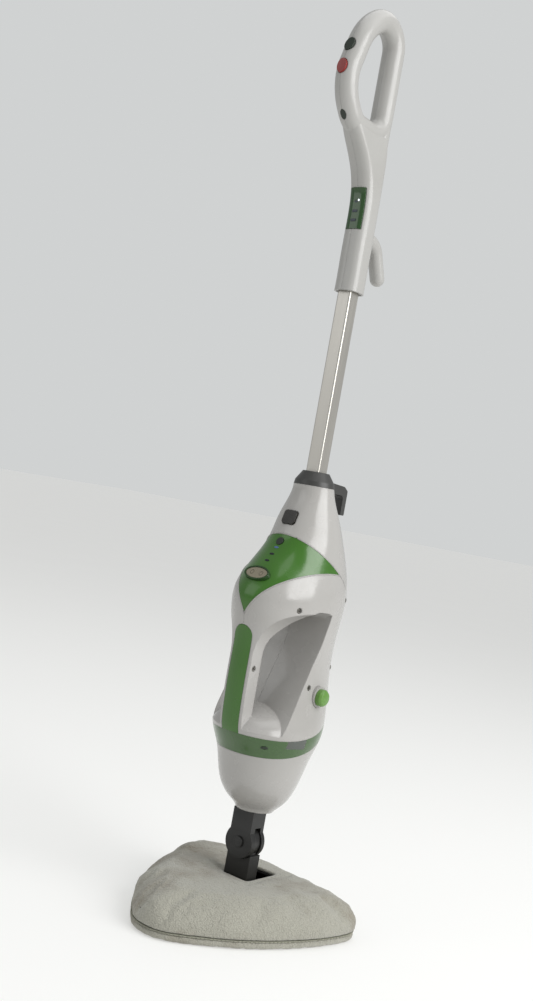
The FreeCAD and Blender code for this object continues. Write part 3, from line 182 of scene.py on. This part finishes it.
def moulded_finish(name, colour, smooth, rubbed, grain=900.0, depth=0.03, soiling=0.12, edge=0.0006):
    """A moulded plastic: tinted by soil, rubbed in patches, finely grained, with softened edges."""
    finish, tree, shader = new_finish(name, colour, smooth)
    face = tree.nodes.new("ShaderNodeGroup")
    face.node_tree = moulded
    face.inputs["Colour"].default_value = (*colour, 1)
    face.inputs["Soil"].default_value = (colour[0] * 0.5, colour[1] * 0.47, colour[2] * 0.4, 1)
    face.inputs["Soiling"].default_value = soiling
    face.inputs["Smooth"].default_value = smooth
    face.inputs["Rubbed"].default_value = rubbed
    face.inputs["Grain"].default_value = grain
    rounded = tree.nodes.new("ShaderNodeBevel")
    rounded.samples = 4
    rounded.inputs["Radius"].default_value = edge
    bump = add_node(tree, "ShaderNodeBump", Strength=depth, Distance=0.0004, Height=face.outputs["Height"],
                    Normal=rounded.outputs["Normal"])
    tree.links.new(face.outputs["Colour"], shader.inputs["Base Color"])
    tree.links.new(face.outputs["Roughness"], shader.inputs["Roughness"])
    tree.links.new(bump.outputs["Normal"], shader.inputs["Normal"])
    return finish


def tune(finish, **settings):
    """Sets the sockets of a finish's main shader that are the same all over the piece."""
    shader = finish.node_tree.nodes["Principled BSDF"]
    for name, value in settings.items():
        shader.inputs[name.replace("_", " ")].default_value = value


def dress(finish, *names):
    """Gives the finish to CAD pieces."""
    for name in names:
        for material_slot in nodes[name].material_slots:
            material_slot.material = finish


white_finish = moulded_finish("white_moulding", (0.375, 0.365, 0.35), 0.18, 0.36, 700.0, 0.02,
                              0.22, 0.0022)
tune(white_finish, Coat_Weight=0.2, Coat_Roughness=0.12)
dress(white_finish, "lower_cone", "casing_right", "casing_left", "pole_cone", "pole_socket", "filler_boss")

# ---------------------------------------------------------------- mop cloth
# A plush microfibre pocket is pulled over the three-cornered head: a puffy cover with a slot for the
# neck, a quilted pad underneath, and a sewn tape where the two meet. The cover is inflated a little
# as cloth and keeps its rumples; the pad's quilting is pressed into its sole.
cloth_grid, cloth_rise, cloth_frames, cloth_pressure = 0.0030, 0.004, 20, 4.0
cover_fold, cover_tuft, pad_fold, pad_tuft = 0.0030, 0.00045, 0.0004, 0.0003
neck_low, neck_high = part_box("neck_yoke")
pad_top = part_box("cloth_pad")[1][2]
slot_margin = 0.010
slot_rear = 0.052


def take(piece):
    """Selects only this piece and makes it the active one."""
    bpy.ops.object.select_all(action="DESELECT")
    piece.select_set(True)
    bpy.context.view_layer.objects.active = piece


def apply_all(piece):
    """Applies every modifier of a piece, in order."""
    take(piece)
    for modifier in list(piece.modifiers):
        bpy.ops.object.modifier_apply(modifier=modifier.name)


def merged_copy(node_name, piece_name):
    """A new piece with a copy of a CAD node's mesh, its loose triangles joined."""
    piece = bpy.data.objects.new(piece_name, nodes[node_name].data.copy())
    bpy.context.scene.collection.objects.link(piece)
    piece.data.materials.clear()
    take(piece)
    bpy.ops.object.mode_set(mode="EDIT")
    bpy.ops.mesh.select_all(action="SELECT")
    bpy.ops.mesh.remove_doubles(threshold=0.00002)
    bpy.ops.object.mode_set(mode="OBJECT")
    return piece


def remeshed(piece, voxel):
    """Gives a closed piece an even mesh with faces of about that size."""
    even = piece.modifiers.new("even", "REMESH")
    even.mode = "VOXEL"
    even.voxel_size = voxel
    apply_all(piece)


def puffed(piece, held, pressure, cap):
    """Inflates a closed piece as cloth, except where held, and no point moves further than the cap."""
    start = [vertex.co.copy() for vertex in piece.data.vertices]
    pinned = piece.vertex_groups.new(name="held")
    pinned.add(held, 1.0, "REPLACE")
    cloth = piece.modifiers.new("cloth", "CLOTH")
    cloth.settings.quality = 5
    cloth.settings.mass = 0.3
    cloth.settings.tension_stiffness = 12
    cloth.settings.compression_stiffness = 12
    cloth.settings.bending_stiffness = 0.4
    cloth.settings.use_pressure = True
    cloth.settings.uniform_pressure_force = pressure
    cloth.settings.vertex_group_mass = "held"
    cloth.settings.effector_weights.gravity = 0
    cloth.point_cache.frame_start = 1
    cloth.point_cache.frame_end = cloth_frames
    for frame_number in range(1, cloth_frames + 1):
        bpy.context.scene.frame_set(frame_number)
    apply_all(piece)
    bpy.context.scene.frame_set(1)
    for vertex, old in zip(piece.data.vertices, start):
        move = vertex.co - old
        if move.length > cap:
            vertex.co = old + move * (cap / move.length)


def rumpled(piece, free, large, small):
    """Moves the free points along their normals in broad soft folds and small tufts."""
    normals = [vertex.normal.copy() for vertex in piece.data.vertices]
    for index in free:
        vertex = piece.data.vertices[index]
        fold = noise.noise(vertex.co * 17 + Vector((3, 7, 1))) + 0.5 * noise.noise(vertex.co * 41)
        tuft = noise.noise(vertex.co * 260)
        vertex.co += normals[index] * (fold * large + tuft * small)


cover = merged_copy("cloth_cover", "cloth_cover_plush")
remeshed(cover, cloth_grid)


def in_slot(point, margin):
    """Whether a point is within a margin of the slot that the neck tilts in."""
    beside = abs(point.x) < neck_high[0] + margin
    return beside and neck_low[1] - margin < point.y < slot_rear + margin


outer, kept = [], []
for vertex in cover.data.vertices:
    outward = vertex.normal.dot(Vector((vertex.co.x, vertex.co.y, 0.02)).normalized())
    facing_out = vertex.normal.z > 0.35 or outward > 0.3
    free_height = vertex.co.z > pad_top + 0.004
    if facing_out and free_height and not in_slot(vertex.co, slot_margin):
        outer.append(vertex.index)
    else:
        kept.append(vertex.index)
rumpled(cover, outer, cover_fold, 0.0)
puffed(cover, kept, cloth_pressure, cloth_rise)
smoother = cover.modifiers.new("rounder", "SUBSURF")
smoother.levels = smoother.render_levels = 1
apply_all(cover)
pile_base, pile_margin = pad_top + 0.002, 0.004
pile_points = [vertex.index for vertex in cover.data.vertices
               if vertex.co.z > pile_base and not in_slot(vertex.co, pile_margin) and vertex.normal.z > -0.2]
rumpled(cover, pile_points, 0.0, cover_tuft)

quilt_pitch, quilt_deep = 0.022, 0.0016
pad = merged_copy("cloth_pad", "cloth_pad_plush")
remeshed(pad, cloth_grid)
for vertex in pad.data.vertices:
    across = abs(math.sin(math.pi * (vertex.co.x + vertex.co.y) / quilt_pitch))
    along = abs(math.sin(math.pi * (vertex.co.x - vertex.co.y) / quilt_pitch))
    if vertex.normal.z < -0.8:
        vertex.co.z += quilt_deep * (1 - min(across, along)) ** 4
rim_points = [vertex.index for vertex in pad.data.vertices if abs(vertex.normal.z) < 0.6]
rumpled(pad, rim_points, pad_fold, pad_tuft)
smoother = pad.modifiers.new("rounder", "SUBSURF")
smoother.levels = smoother.render_levels = 1
apply_all(pad)

tape = merged_copy("cloth_binding", "cloth_tape")
remeshed(tape, 0.0011)
for vertex in tape.data.vertices:
    vertex.co += vertex.normal * 0.00025 * noise.noise(vertex.co * 330)

plush_finish, plush_tree, plush_shader = new_finish("plush_microfibre", (0.42, 0.40, 0.34), 0.95)
plush_place = plush_tree.nodes.new("ShaderNodeTexCoord").outputs["Object"]
stain = add_node(plush_tree, "ShaderNodeTexNoise", Vector=plush_place, Scale=11.0, Detail=5.0, Roughness=0.6)
stain_tone = plush_tree.nodes.new("ShaderNodeValToRGB")
stain_tone.color_ramp.elements[0].position = 0.33
stain_tone.color_ramp.elements[0].color = (0.265, 0.235, 0.180, 1)
stain_tone.color_ramp.elements[1].position = 0.52
stain_tone.color_ramp.elements[1].color = (0.415, 0.405, 0.345, 1)
plush_tree.links.new(stain.outputs["Fac"], stain_tone.inputs["Fac"])
pile = add_node(plush_tree, "ShaderNodeTexVoronoi", Vector=plush_place, Scale=620.0)
pile_tone = add_node(plush_tree, "ShaderNodeMapRange", Value=pile.outputs["Distance"], From_Max=0.9,
                     To_Min=1.0, To_Max=0.74)
pile_colour = plush_tree.nodes.new("ShaderNodeVectorMath")
pile_colour.operation = "SCALE"
plush_tree.links.new(stain_tone.outputs["Color"], pile_colour.inputs[0])
plush_tree.links.new(pile_tone.outputs["Result"], pile_colour.inputs["Scale"])
tuft_cloud = add_node(plush_tree, "ShaderNodeTexNoise", Vector=plush_place, Scale=240.0, Detail=4.0)
pile_height = plush_tree.nodes.new("ShaderNodeMath")
pile_height.operation = "SUBTRACT"
plush_tree.links.new(tuft_cloud.outputs["Fac"], pile_height.inputs[0])
plush_tree.links.new(pile.outputs["Distance"], pile_height.inputs[1])
plush_bump = add_node(plush_tree, "ShaderNodeBump", Strength=0.8, Distance=0.0012,
                      Height=pile_height.outputs["Value"])
plush_tree.links.new(pile_colour.outputs["Vector"], plush_shader.inputs["Base Color"])
plush_tree.links.new(plush_bump.outputs["Normal"], plush_shader.inputs["Normal"])
plush_shader.inputs["Sheen Weight"].default_value = 0.35
plush_shader.inputs["Sheen Roughness"].default_value = 0.5
plush_shader.inputs["Specular IOR Level"].default_value = 0.15

tape_finish, tape_tree, tape_shader = new_finish("sewn_tape", (0.22, 0.22, 0.17), 0.85)
tape_place = tape_tree.nodes.new("ShaderNodeTexCoord").outputs["Object"]
tape_weave = add_node(tape_tree, "ShaderNodeTexWave", Vector=tape_place, Scale=260.0, Distortion=1.5)
tape_tone = add_node(tape_tree, "ShaderNodeMapRange", Value=tape_weave.outputs["Fac"],
                     To_Min=0.75, To_Max=0.95)
tape_bump = add_node(tape_tree, "ShaderNodeBump", Strength=0.5, Distance=0.0005,
                     Height=tape_weave.outputs["Fac"])
tape_tree.links.new(tape_tone.outputs["Result"], tape_shader.inputs["Roughness"])
tape_tree.links.new(tape_bump.outputs["Normal"], tape_shader.inputs["Normal"])

for piece, finish, stood_for, slot_name in ((cover, plush_finish, "cloth_cover", "cloth"),
                                            (pad, plush_finish, "cloth_pad", "cloth"),
                                            (tape, tape_finish, "cloth_binding", "cloth_tape")):
    piece.data.materials.append(finish)
    take(piece)
    bpy.ops.object.shade_smooth()
    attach(piece, "mop_head")
    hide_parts(stood_for)

# ---------------------------------------------------------------- hem stitches
# The tape is sewn down all round with one row of thick thread. Each stitch is a short flat loop that
# sinks into the cloth at both ends.
stitch_pitch, stitch_length, stitch_thick = 0.0050, 0.0034, 0.0006
tape_low, tape_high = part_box("cloth_binding")
stitch_height = (tape_low[2] + tape_high[2]) / 2
stitch_middle = Vector(((tape_low[0] + tape_high[0]) / 2, (tape_low[1] + tape_high[1]) / 2, stitch_height))


def finish_piece(piece, finish, body):
    """Finishes a new hard piece: its material and its body."""
    piece.data.materials.clear()
    piece.data.materials.append(finish)
    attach(piece, body)


def joined(pieces, name):
    """Joins pieces that repeat into one, with its place in its mesh."""
    bpy.ops.object.select_all(action="DESELECT")
    for piece in pieces:
        piece.select_set(True)
    bpy.context.view_layer.objects.active = pieces[0]
    bpy.ops.object.join()
    bpy.ops.object.transform_apply(location=True, rotation=True, scale=True)
    bpy.context.object.name = name
    return bpy.context.object


def copied(pattern, place, turn):
    """A copy of a modelled piece, with its own mesh, at a place and turn."""
    copy = pattern.copy()
    copy.data = pattern.data.copy()
    bpy.context.scene.collection.objects.link(copy)
    copy.location = place
    copy.rotation_euler = turn
    return copy


def drop(pattern):
    """Removes a pattern or a cutter once it has done its work."""
    bpy.data.objects.remove(pattern, do_unlink=True)


def flattened(shape, softened=0.0, steps=1):
    """Stretches and flattens the new primitive in edit mode, softens its edges and returns it."""
    bpy.ops.object.mode_set(mode="EDIT")
    bpy.ops.mesh.select_all(action="SELECT")
    bpy.ops.transform.resize(value=shape)
    if softened:
        bpy.ops.mesh.bevel(offset=softened, segments=steps)
    bpy.ops.object.mode_set(mode="OBJECT")
    return bpy.context.object


bpy.ops.object.select_all(action="DESELECT")
bpy.ops.mesh.primitive_cylinder_add(vertices=8, radius=stitch_thick / 2, depth=stitch_length,
                                    rotation=(0, math.pi / 2, 0))
bpy.ops.object.transform_apply(rotation=True)
stitch_pattern = flattened((1, 0.7, 1.3), stitch_thick * 0.2)
tape_edge = []
edge_steps, well_outside = 720, 0.4
for step in range(edge_steps):
    angle = 2 * math.pi * step / edge_steps
    outward = Vector((math.cos(angle), math.sin(angle), 0))
    struck, place, facing = tape.ray_cast(stitch_middle + outward * well_outside, -outward)[:3]
    if struck:
        tape_edge.append((place.copy(), facing.copy()))
stitches, walked = [], 0.0
for (place, facing), following in zip(tape_edge, tape_edge[1:] + tape_edge[:1]):
    next_place = following[0]
    walked += (next_place - place).length
    if walked >= stitch_pitch:
        walked -= stitch_pitch
        run = (next_place - place).normalized()
        turn = (0, 0, math.atan2(run.y, run.x))
        stitches.append(copied(stitch_pattern, place + facing * stitch_thick * 0.1, turn))
drop(stitch_pattern)
thread_finish, thread_tree, thread_shader = new_finish("thread", (0.34, 0.33, 0.27), 0.8)
thread_twist = add_node(thread_tree, "ShaderNodeTexNoise", Scale=1900.0, Detail=1.0,
                        Vector=thread_tree.nodes.new("ShaderNodeTexCoord").outputs["Object"])
thread_bump = add_node(thread_tree, "ShaderNodeBump", Strength=0.5, Distance=0.0002,
                       Height=thread_twist.outputs["Fac"])
thread_tree.links.new(thread_bump.outputs["Normal"], thread_shader.inputs["Normal"])
finish_piece(joined(stitches, "tape_stitches"), thread_finish, "mop_head")

# ---------------------------------------------------------------- mop head and neck
# The head's plate, dome, steam duct and hinge bracket are black nylon, mostly hidden under the cloth.
# The neck is two thick black mouldings: one tilts in the head, and the fork above swivels on a pin
# through both.
nylon_finish = moulded_finish("black_nylon", (0.007, 0.007, 0.0065), 0.36, 0.6, 500.0, 0.12,
                              0.2, 0.0012)
dress(nylon_finish, "sole_plate", "head_cover", "hinge_bracket", "neck_yoke", "neck_fork", "swivel_pin",
      "hook_strips", "steam_manifold")

# ---------------------------------------------------------------- green band and water window
# The water tank shows through a smoky green band round the unit, with a clearer grey window on its
# right. A small dark catch sits in the band near the front.
band_finish = moulded_finish("smoky_green_band", (0.050, 0.125, 0.028), 0.18, 0.34, 700.0, 0.02,
                             0.3, 0.0008)
tune(band_finish, Transmission_Weight=0.25, Coat_Weight=0.4)
dress(band_finish, "green_band")
window_finish = moulded_finish("grey_window", (0.13, 0.145, 0.13), 0.12, 0.30, 700.0, 0.02,
                               0.35, 0.0006)
tune(window_finish, Transmission_Weight=0.35)
dress(window_finish, "water_window")


def seat(node_name, start, direction):
    """The place and outward facing where a straight line meets a CAD piece."""
    return nodes[node_name].ray_cast(Vector(start), Vector(direction).normalized())[1:3]


catch_aside, catch_height, catch_half, catch_thick = 0.040, 0.2205, 0.0046, 0.0016
catch_place, catch_facing = seat("green_band", (catch_aside, -0.2, catch_height), (0, 1, 0))
bpy.ops.object.select_all(action="DESELECT")
bpy.ops.mesh.primitive_cylinder_add(vertices=32, radius=catch_half, depth=catch_thick)
catch = flattened((1, 0.48, 1), 0.0005, 3)
catch.rotation_euler = catch_facing.to_track_quat("Z", "Y").to_euler()
catch.location = catch_place
catch = joined([catch], "band_catch")
catch_finish = moulded_finish("catch_black", (0.010, 0.022, 0.010), 0.25, 0.5)
finish_piece(catch, catch_finish, "steam_unit")

# ---------------------------------------------------------------- grip inlay and control panel
# The grip's front strip and the arched panel above it are glossy green mouldings. A fine white bead
# follows the panel's outer edge.
green_finish = moulded_finish("green_moulding", (0.034, 0.125, 0.008), 0.18, 0.34, 800.0, 0.02,
                              0.25, 0.0010)
tune(green_finish, Coat_Weight=0.25, Coat_Roughness=0.06)
dress(green_finish, "grip_inlay", "control_panel")

bead_radius = 0.0008
bead = merged_copy("control_panel", "panel_bead")
unit_axis = 0.012
controls_half, controls_low, controls_high = 0.0185, 0.411, 0.4735


def on_outer_rim(piece, edge_faces, ends):
    """Whether an edge lies where the panel's outer face meets its rim, away from the controls."""
    if len(edge_faces) != 2:
        return False
    middle = (ends[0] + ends[1]) / 2
    outward = Vector((middle.x, middle.y - unit_axis, 0.35 * abs(middle.y))).normalized()
    facing = [piece.data.polygons[index].normal.dot(outward) for index in edge_faces]
    at_controls = abs(middle.x) < controls_half and controls_low < middle.z < controls_high
    turned = piece.data.polygons[edge_faces[0]].normal.angle(piece.data.polygons[edge_faces[1]].normal, 0)
    return max(facing) > 0.55 and turned > math.radians(50) and not at_controls


faces_of = {}
for polygon in bead.data.polygons:
    for key in polygon.edge_keys:
        faces_of.setdefault(key, []).append(polygon.index)
rim_edges = [edge.index for edge in bead.data.edges
             if on_outer_rim(bead, faces_of.get(tuple(sorted(edge.vertices)), []),
                             [bead.data.vertices[end].co for end in edge.vertices])]
bpy.ops.object.mode_set(mode="EDIT")
bpy.ops.mesh.select_mode(type="EDGE")
bpy.ops.mesh.select_all(action="DESELECT")
bpy.ops.object.mode_set(mode="OBJECT")
for index in rim_edges:
    bead.data.edges[index].select = True
bpy.ops.object.mode_set(mode="EDIT")
bpy.ops.mesh.select_all(action="INVERT")
bpy.ops.mesh.delete(type="EDGE")
bpy.ops.object.mode_set(mode="OBJECT")
bpy.ops.object.convert(target="CURVE")
bead.data.bevel_depth = bead_radius
bead.data.bevel_resolution = 2
bpy.ops.object.convert(target="MESH")
bpy.ops.object.shade_smooth()
finish_piece(bead, white_finish, "steam_unit")

# ---------------------------------------------------------------- panel controls
# Three small dark lamps stand in a row under a round push button, and the top of the row carries a painted
# bluish reflection. Below them a satin metal-coloured rocker with two raised rings tips in a dark oval bezel.
bezel_finish = moulded_finish("dark_green_bezel", (0.012, 0.045, 0.006), 0.2, 0.4)
dress(bezel_finish, "rocker_bezel")
rocker_finish = moulded_finish("champagne_rocker", (0.36, 0.32, 0.24), 0.26, 0.45, 900.0,
                               0.05, 0.3, 0.0010)
tune(rocker_finish, Metallic=0.75)
dress(rocker_finish, "rocker_switch")
rocker_low, rocker_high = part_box("rocker_switch")
rocker_middle = [(low + high) / 2 for low, high in zip(rocker_low, rocker_high)]
ring_spread, ring_radius, ring_line = 0.0068, 0.0023, 0.00045
rings = []
for side in (-1, 1):
    above = (side * ring_spread, rocker_middle[1] - 0.05, rocker_middle[2] + 0.04)
    place, facing = seat("rocker_switch", above, (0, 0.05, -0.04))
    bpy.ops.object.select_all(action="DESELECT")
    bpy.ops.mesh.primitive_torus_add(major_radius=ring_radius, minor_radius=ring_line, major_segments=32,
                                     minor_segments=8)
    ring = flattened((1.0, 1.25, 0.5))
    ring.rotation_euler = facing.to_track_quat("Z", "Y").to_euler()
    ring.location = place
    rings.append(ring)
ring_finish = moulded_finish("rocker_marks", (0.10, 0.085, 0.055), 0.35, 0.55)
finish_piece(joined(rings, "rocker_rings"), ring_finish, "rocker")
button_finish = moulded_finish("black_button", (0.010, 0.018, 0.010), 0.2, 0.4)
dress(button_finish, "panel_button", "handle_port", "steam_button")
lamp_finish = moulded_finish("dark_lamp_glass", (0.012, 0.022, 0.035), 0.08, 0.25)
dress(lamp_finish, "display_lamps")
# The panel lamps are dark glass. Above a set height near the top of the row, their colour is painted bluish
# as a painted reflection, not light from the lamp.
panel_lamp_finish = moulded_finish("blue_lamp_glass", (0.03, 0.05, 0.10), 0.06, 0.2)
lamps_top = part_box("panel_lamps")[1][2]
painted_reflection_tall, painted_reflection_fade = 0.007, 0.0005
panel_lamp_tree = panel_lamp_finish.node_tree
lamp_place = add_node(panel_lamp_tree, "ShaderNodeSeparateXYZ",
                      Vector=panel_lamp_tree.nodes.new("ShaderNodeTexCoord").outputs["Object"])
painted_reflection_mask = add_node(panel_lamp_tree, "ShaderNodeMapRange", Value=lamp_place.outputs["Z"],
                    From_Min=lamps_top - painted_reflection_tall, From_Max=lamps_top - painted_reflection_tall + painted_reflection_fade)
# Mix from the dark glass colour to the painted bluish reflection colour, by height.
lamp_and_painted_reflection = panel_lamp_tree.nodes.new("ShaderNodeMix")
lamp_and_painted_reflection.data_type = "RGBA"
lamp_and_painted_reflection.inputs[6].default_value = (0.004, 0.008, 0.012, 1)
lamp_and_painted_reflection.inputs[7].default_value = (0.07, 0.13, 0.26, 1)
panel_lamp_tree.links.new(painted_reflection_mask.outputs["Result"], lamp_and_painted_reflection.inputs["Factor"])
panel_lamp_shader = panel_lamp_tree.nodes["Principled BSDF"]
panel_lamp_tree.links.new(lamp_and_painted_reflection.outputs[2], panel_lamp_shader.inputs["Base Color"])
dress(panel_lamp_finish, "panel_lamps")

# ---------------------------------------------------------------- knob, gland and screws
# The filler knob screws into a boss on the right. The screws are driven into recesses from the right,
# and their heads have cross recesses. The cord gland and the hoses are black rubber.
knob_finish = moulded_finish("light_green_knob", (0.11, 0.25, 0.045), 0.2, 0.4, 700.0, 0.04,
                             0.2, 0.0016)
dress(knob_finish, "filler_knob")
rubber_finish = moulded_finish("dark_rubber", (0.02, 0.02, 0.02), 0.6, 0.85)
dress(rubber_finish, "cord_gland", "steam_hose", "feed_hose")
screw_finish = moulded_finish("dull_screw_steel", (0.22, 0.21, 0.19), 0.3, 0.6)
tune(screw_finish, Metallic=1.0)
dress(screw_finish, "bracket_screws", "hinge_pin", "hook_axle", "panel_spring", "release_spring",
      "steam_spring", "power_spring", "tube_clamp")
recess_deep, recess_long, recess_wide = 0.0011, 0.0038, 0.0009


def cross_cut(screw):
    """Cuts a cross recess into the head of a screw that is driven from the right."""
    corners = [vertex.co for vertex in screw.data.vertices]
    low = [min(corner[axis] for corner in corners) for axis in range(3)]
    high = [max(corner[axis] for corner in corners) for axis in range(3)]
    head = Vector((high[0], (low[1] + high[1]) / 2, (low[2] + high[2]) / 2))
    cutters = []
    for turn in (math.pi / 4, -math.pi / 4):
        bpy.ops.object.select_all(action="DESELECT")
        bpy.ops.mesh.primitive_cube_add(size=1, location=head, rotation=(turn, 0, 0),
                                        scale=(2 * recess_deep, recess_long, recess_wide))
        cutters.append(bpy.context.object)
    for cutter in cutters:
        cross = screw.modifiers.new("cross", "BOOLEAN")
        cross.object = cutter
        cross.solver = "EXACT"
    apply_all(screw)
    for cutter in cutters:
        drop(cutter)


for node_name, piece_name, body in (("casing_screws", "casing_screws_driven", "steam_unit"),
                                    ("handle_screws", "handle_screws_driven", "pole")):
    driven = merged_copy(node_name, piece_name)
    bpy.ops.object.mode_set(mode="EDIT")
    bpy.ops.mesh.separate(type="LOOSE")
    bpy.ops.object.mode_set(mode="OBJECT")
    screws = [piece for piece in bpy.context.selected_objects if piece.name.startswith(piece_name)]
    for screw in screws:
        cross_cut(screw)
    driven = joined(screws, piece_name)
    finish_piece(driven, screw_finish, body)
    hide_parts(node_name)

# ---------------------------------------------------------------- works inside the shells
# The boiler and its thermostat are cast aluminium, and the water tank is milky plastic. The chassis,
# the pump and the pole's plug are black, and the circuit boards are green laminate.
cast_finish = moulded_finish("cast_aluminium", (0.35, 0.35, 0.34), 0.45, 0.7, 350.0, 0.4, 0.4)
tune(cast_finish, Metallic=0.9)
dress(cast_finish, "boiler", "thermostat")
tank_finish = moulded_finish("milky_tank", (0.50, 0.52, 0.50), 0.2, 0.4, 500.0, 0.05, 0.1)
tune(tank_finish, Transmission_Weight=0.5)
dress(tank_finish, "water_tank")
works_finish = moulded_finish("works_plastic", (0.05, 0.05, 0.05), 0.4, 0.6)
dress(works_finish, "chassis_plate", "pump", "pole_plug")
board_finish = moulded_finish("green_laminate", (0.02, 0.10, 0.035), 0.25, 0.4, 400.0, 0.3, 0.5)
dress(board_finish, "panel_board", "handle_board", "display_board")

# ---------------------------------------------------------------- release button, collar and tube
# A dark square button frees the pole. The grey collar with its cord hook carries the satin aluminium
# tube, drawn with fine lines along its length.
collar_finish = moulded_finish("grey_collar", (0.038, 0.038, 0.036), 0.34, 0.55, 500.0,
                               0.08, 0.15, 0.0012)
dress(collar_finish, "pole_collar")
release_finish = moulded_finish("release_black", (0.009, 0.007, 0.005), 0.2, 0.45)
dress(release_finish, "release_button")

tube_finish, tube_tree, tube_shader = new_finish("satin_aluminium", (0.55, 0.53, 0.49), 0.34)
tube_place = tube_tree.nodes.new("ShaderNodeTexCoord").outputs["Object"]
drawn = add_node(tube_tree, "ShaderNodeMapping", Vector=tube_place, Scale=(900, 900, 6))
drawn_lines = add_node(tube_tree, "ShaderNodeTexNoise", Vector=drawn.outputs["Vector"], Scale=1.0, Detail=3.0)
tube_rough = add_node(tube_tree, "ShaderNodeMapRange", Value=drawn_lines.outputs["Fac"],
                      To_Min=0.26, To_Max=0.46)
tube_bump = add_node(tube_tree, "ShaderNodeBump", Strength=0.12, Distance=0.0002,
                     Height=drawn_lines.outputs["Fac"])
tube_tree.links.new(tube_rough.outputs["Result"], tube_shader.inputs["Roughness"])
tube_tree.links.new(tube_bump.outputs["Normal"], tube_shader.inputs["Normal"])
tube_shader.inputs["Metallic"].default_value = 1.0
dress(tube_finish, "pole_tube")

# ---------------------------------------------------------------- handle
# The loop handle is two white mouldings screwed together, with a dark green display lens, a steam
# button, a red power button and a round socket on its front, and a swivelling cord hook behind.
handle_finish = moulded_finish("handle_moulding", (0.36, 0.355, 0.34), 0.28, 0.42, 600.0,
                               0.03, 0.16, 0.0016)
tune(handle_finish, Coat_Weight=0.15)
dress(handle_finish, "handle_right", "handle_left", "cord_hook")
lens_finish = moulded_finish("dark_green_lens", (0.010, 0.050, 0.005), 0.1, 0.24)
tune(lens_finish, Coat_Weight=0.6)
dress(lens_finish, "display_lens")
lens_low, lens_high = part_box("display_lens")
led_aside, led_share, led_radius = 0.0035, 0.7, 0.0012
led_height = lens_low[2] + led_share * (lens_high[2] - lens_low[2])
led_place, led_facing = seat("display_lens", (led_aside, lens_low[1] - 0.05, led_height), (0, 1, 0))
bpy.ops.object.select_all(action="DESELECT")
bpy.ops.mesh.primitive_uv_sphere_add(segments=24, ring_count=12, radius=led_radius)
led = flattened((0.8, 1.1, 0.35))
bpy.ops.object.shade_smooth()
led.rotation_euler = led_facing.to_track_quat("Z", "Y").to_euler()
led.location = led_place
led_finish, led_tree, led_shader = new_finish("lit_lamp", (0.75, 0.88, 1.0), 0.2)
led_glow = add_node(led_tree, "ShaderNodeMapRange", Value=speckled(led_tree, 500.0), To_Min=0.85, To_Max=1.0)
led_colour = add_node(led_tree, "ShaderNodeCombineColor", Red=led_glow.outputs["Result"],
                      Green=led_glow.outputs["Result"], Blue=1.0)
led_tree.links.new(led_colour.outputs["Color"], led_shader.inputs["Emission Color"])
led_shader.inputs["Emission Strength"].default_value = 1.6
finish_piece(joined([led], "display_led"), led_finish, "pole")
red_finish = moulded_finish("red_button", (0.20, 0.012, 0.008), 0.12, 0.35)
dress(red_finish, "power_button")
